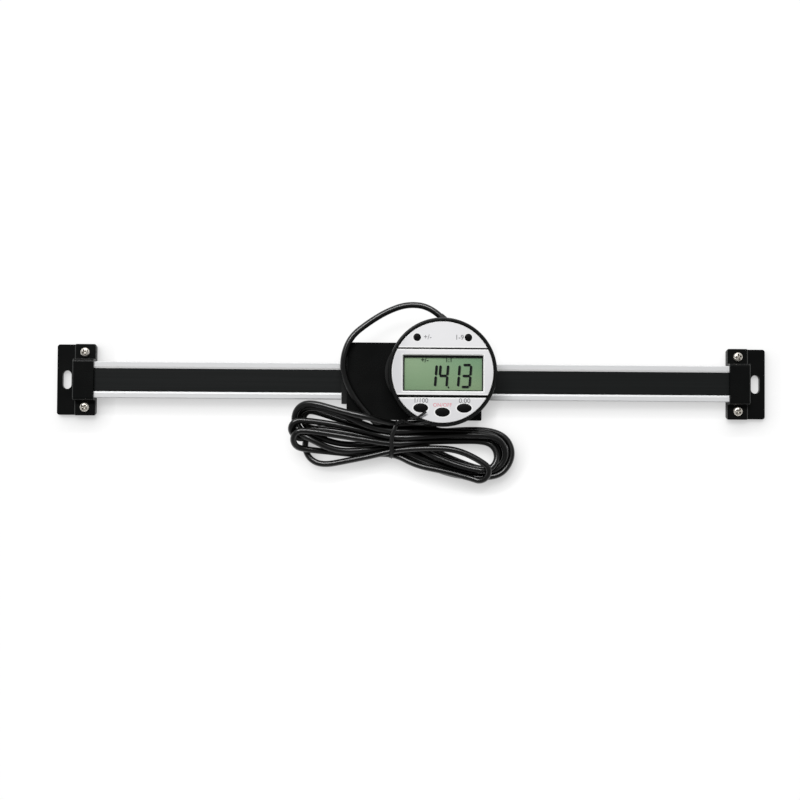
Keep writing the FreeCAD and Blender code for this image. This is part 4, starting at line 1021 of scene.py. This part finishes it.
tie_plastic, place = new_finish("tie_plastic")
creases = grain(place, 0.0008)
shade(place, {
    "Base Color": tint(creases, (0.004, 0.004, 0.004, 1), (0.014, 0.014, 0.014, 1)),
    "Specular IOR Level": 0.35,
    "Roughness": 0.3 + 0.14 * creases,
    "Normal": relief(creases, 0.00004),
})
tie = fit(skin("twist_tie", [swept(*tie_ring())], looped=True), tie_plastic, "reader_head")
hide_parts("cable_tie")

TWIST_START = np.array([-9.2, -23.0, 11.9])
TWIST_END = np.array([-4.6, -21.2, 14.2])
TWIST_TURNS = 1.75
TWIST_R = 0.62
TWIST_POINTS = 15
SPAN_POINTS = 6
LONG_END = ((-3.2, -20.75, 17.0), (-2.1, -20.45, 21.5), (-1.5, -20.2, 25.0), (-0.2, -19.75, 26.5),
            (2.4, -19.3, 26.4), (5.0, -17.5, 26.7), (6.5, -16.35, 27.0))
FLAT_END = ((-3.3, -22.2, 16.2), (-0.4, -22.9, 19.8), (2.2, -23.0, 23.4), (4.6, -22.75, 26.0),
            (8.3, -21.9, 26.2))
WIRE_ENDS = (
    # start of the twist's turn, points after the twist, direction out of the strip, share of its width
    (0.0, LONG_END, (-0.5, -0.7, 0.5), 0.6),
    (np.pi, FLAT_END, (-0.4, -0.75, 0.6), 0.8),
)


def twisted(phase):
    """Helix about the line of the twist: a circle square to the line, turned in step with the way along
    it."""
    share = np.linspace(0, 1, TWIST_POINTS)[:, None]
    axis = (TWIST_END - TWIST_START) / np.linalg.norm(TWIST_END - TWIST_START)
    side = np.cross(axis, (0, 0, 1))
    side /= np.linalg.norm(side)
    angle = phase + 2 * np.pi * TWIST_TURNS * share
    return TWIST_START + (TWIST_END - TWIST_START) * share + TWIST_R * (
        np.cos(angle) * side + np.sin(angle) * np.cross(side, axis))


ends = []
for phase, rest, lean, width in WIRE_ENDS:
    path = through(np.vstack([twisted(phase), rest]), SPAN_POINTS)
    across, out = directions(path, np.array(lean))
    ends.append(swept(path, across, out, width))
tie_ends = skin("twist_tie_ends", ends)
tie_ends.data.materials.append(tie_plastic)
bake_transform(tie_ends)

# Floor and light: a wide sheet of paper that shows as white, with a soft shadow painted into its glow on the
# side away from the lamp, one long soft lamp beyond the scale and a little to its left, and a dim room whose
# ceiling over the camera is darkest, so that faces which look straight up stay dark.
FLOOR_HALF = 6.0
SHADOW_REACH = 0.0105
SHADOW_DEPTH = 0.8
TO_LIGHT = {"X": -0.52, "Y": 0.78, "Z": 0.35}
GLOW = 0.92
GLOW_IN_GLOSS = 0.6
LAMP_PLACE = (-0.7, 2.7, 3.7)
LAMP_LENGTH = 3.6
LAMP_DEPTH = 1.0
LAMP_POWER = 208.0
CEILING_FROM, CEILING_TO = 0.1, 0.9
floor_mesh = bpy.data.meshes.new("floor")
floor_corners = [(-FLOOR_HALF, -FLOOR_HALF, 0), (FLOOR_HALF, -FLOOR_HALF, 0),
                 (FLOOR_HALF, FLOOR_HALF, 0), (-FLOOR_HALF, FLOOR_HALF, 0)]
floor_mesh.from_pydata(floor_corners, [], [(0, 1, 2, 3)])
floor = bpy.data.objects.new("floor", floor_mesh)
bpy.context.scene.collection.objects.link(floor)
paper, place = new_finish("white_paper")
tooth = grain(place, 0.0006)
by_eye = place.node("ShaderNodeLightPath", {}, {}, "Is Camera Ray")
in_gloss = place.node("ShaderNodeLightPath", {}, {}, "Is Glossy Ray")
in_glass = place.node("ShaderNodeLightPath", {}, {}, "Is Transmission Ray")
reflected = in_gloss.maths("MAXIMUM", in_gloss, in_glass)
to_light = place.node("ShaderNodeCombineXYZ", {}, TO_LIGHT)
# Painted shadow: the sheet's glow is dimmed by how much of the side towards the light is covered.
open_sky = place.node("ShaderNodeAmbientOcclusion", {"samples": 16},
                      {"Distance": SHADOW_REACH, "Normal": to_light}, "AO")
white = (GLOW * by_eye + GLOW_IN_GLOSS * reflected) * (1 - SHADOW_DEPTH + SHADOW_DEPTH * open_sky)
sheet = tint(tooth, (0.72, 0.72, 0.72, 1), (0.75, 0.75, 0.75, 1))
shade(place, {
    "Base Color": tint(by_eye, sheet, (0.1, 0.1, 0.1, 1)),
    "Roughness": 0.95,
    "Specular IOR Level": 0.0,
    "Emission Color": tint(white, (0, 0, 0, 1), (1, 1, 1, 1)),
    "Emission Strength": 1.0,
})
floor_mesh.materials.append(paper)

lamp_data = bpy.data.lights.new("wide_soft_box", "AREA")
lamp_data.shape = "RECTANGLE"
lamp_data.size = LAMP_LENGTH
lamp_data.size_y = LAMP_DEPTH
lamp_data.energy = LAMP_POWER
lamp = bpy.data.objects.new("wide_soft_box", lamp_data)
lamp.location = LAMP_PLACE
lamp.rotation_euler = (-lamp.location).to_track_quat("-Z", "Y").to_euler()
bpy.context.scene.collection.objects.link(lamp)

world = bpy.data.worlds.new("pale_room")
world.use_nodes = True
bpy.context.scene.world = world
sky = Socket(world.node_tree)
direction = sky.node("ShaderNodeTexCoord", result="Generated")
overhead = sky.node("ShaderNodeSeparateXYZ", {}, {"Vector": direction}, "Z")
room = tint(step(overhead, CEILING_FROM, CEILING_TO), (0.42, 0.42, 0.42, 1), (0.14, 0.14, 0.14, 1))
sky.feed(world.node_tree.nodes["Background"], {"Color": room, "Strength": 1.0})

# Camera: straight above the reader head and a little in front of it, as far away as the picture's
# perspective shows.
SENSOR_WIDTH = 36.0
LENS = 43.63
CAMERA_PLACE = (-0.01496, -0.01959, 0.54138)
CAMERA_TURN = (1.01, -0.84, 0.38)
camera_data = bpy.data.cameras.new("camera")
camera_data.sensor_width = SENSOR_WIDTH
camera_data.lens = LENS
camera = bpy.data.objects.new("camera", camera_data)
camera.location = CAMERA_PLACE
camera.rotation_euler = [math.radians(angle) for angle in CAMERA_TURN]
bpy.context.scene.collection.objects.link(camera)
bpy.context.scene.camera = camera
bpy.context.scene.view_settings.view_transform = "Standard"
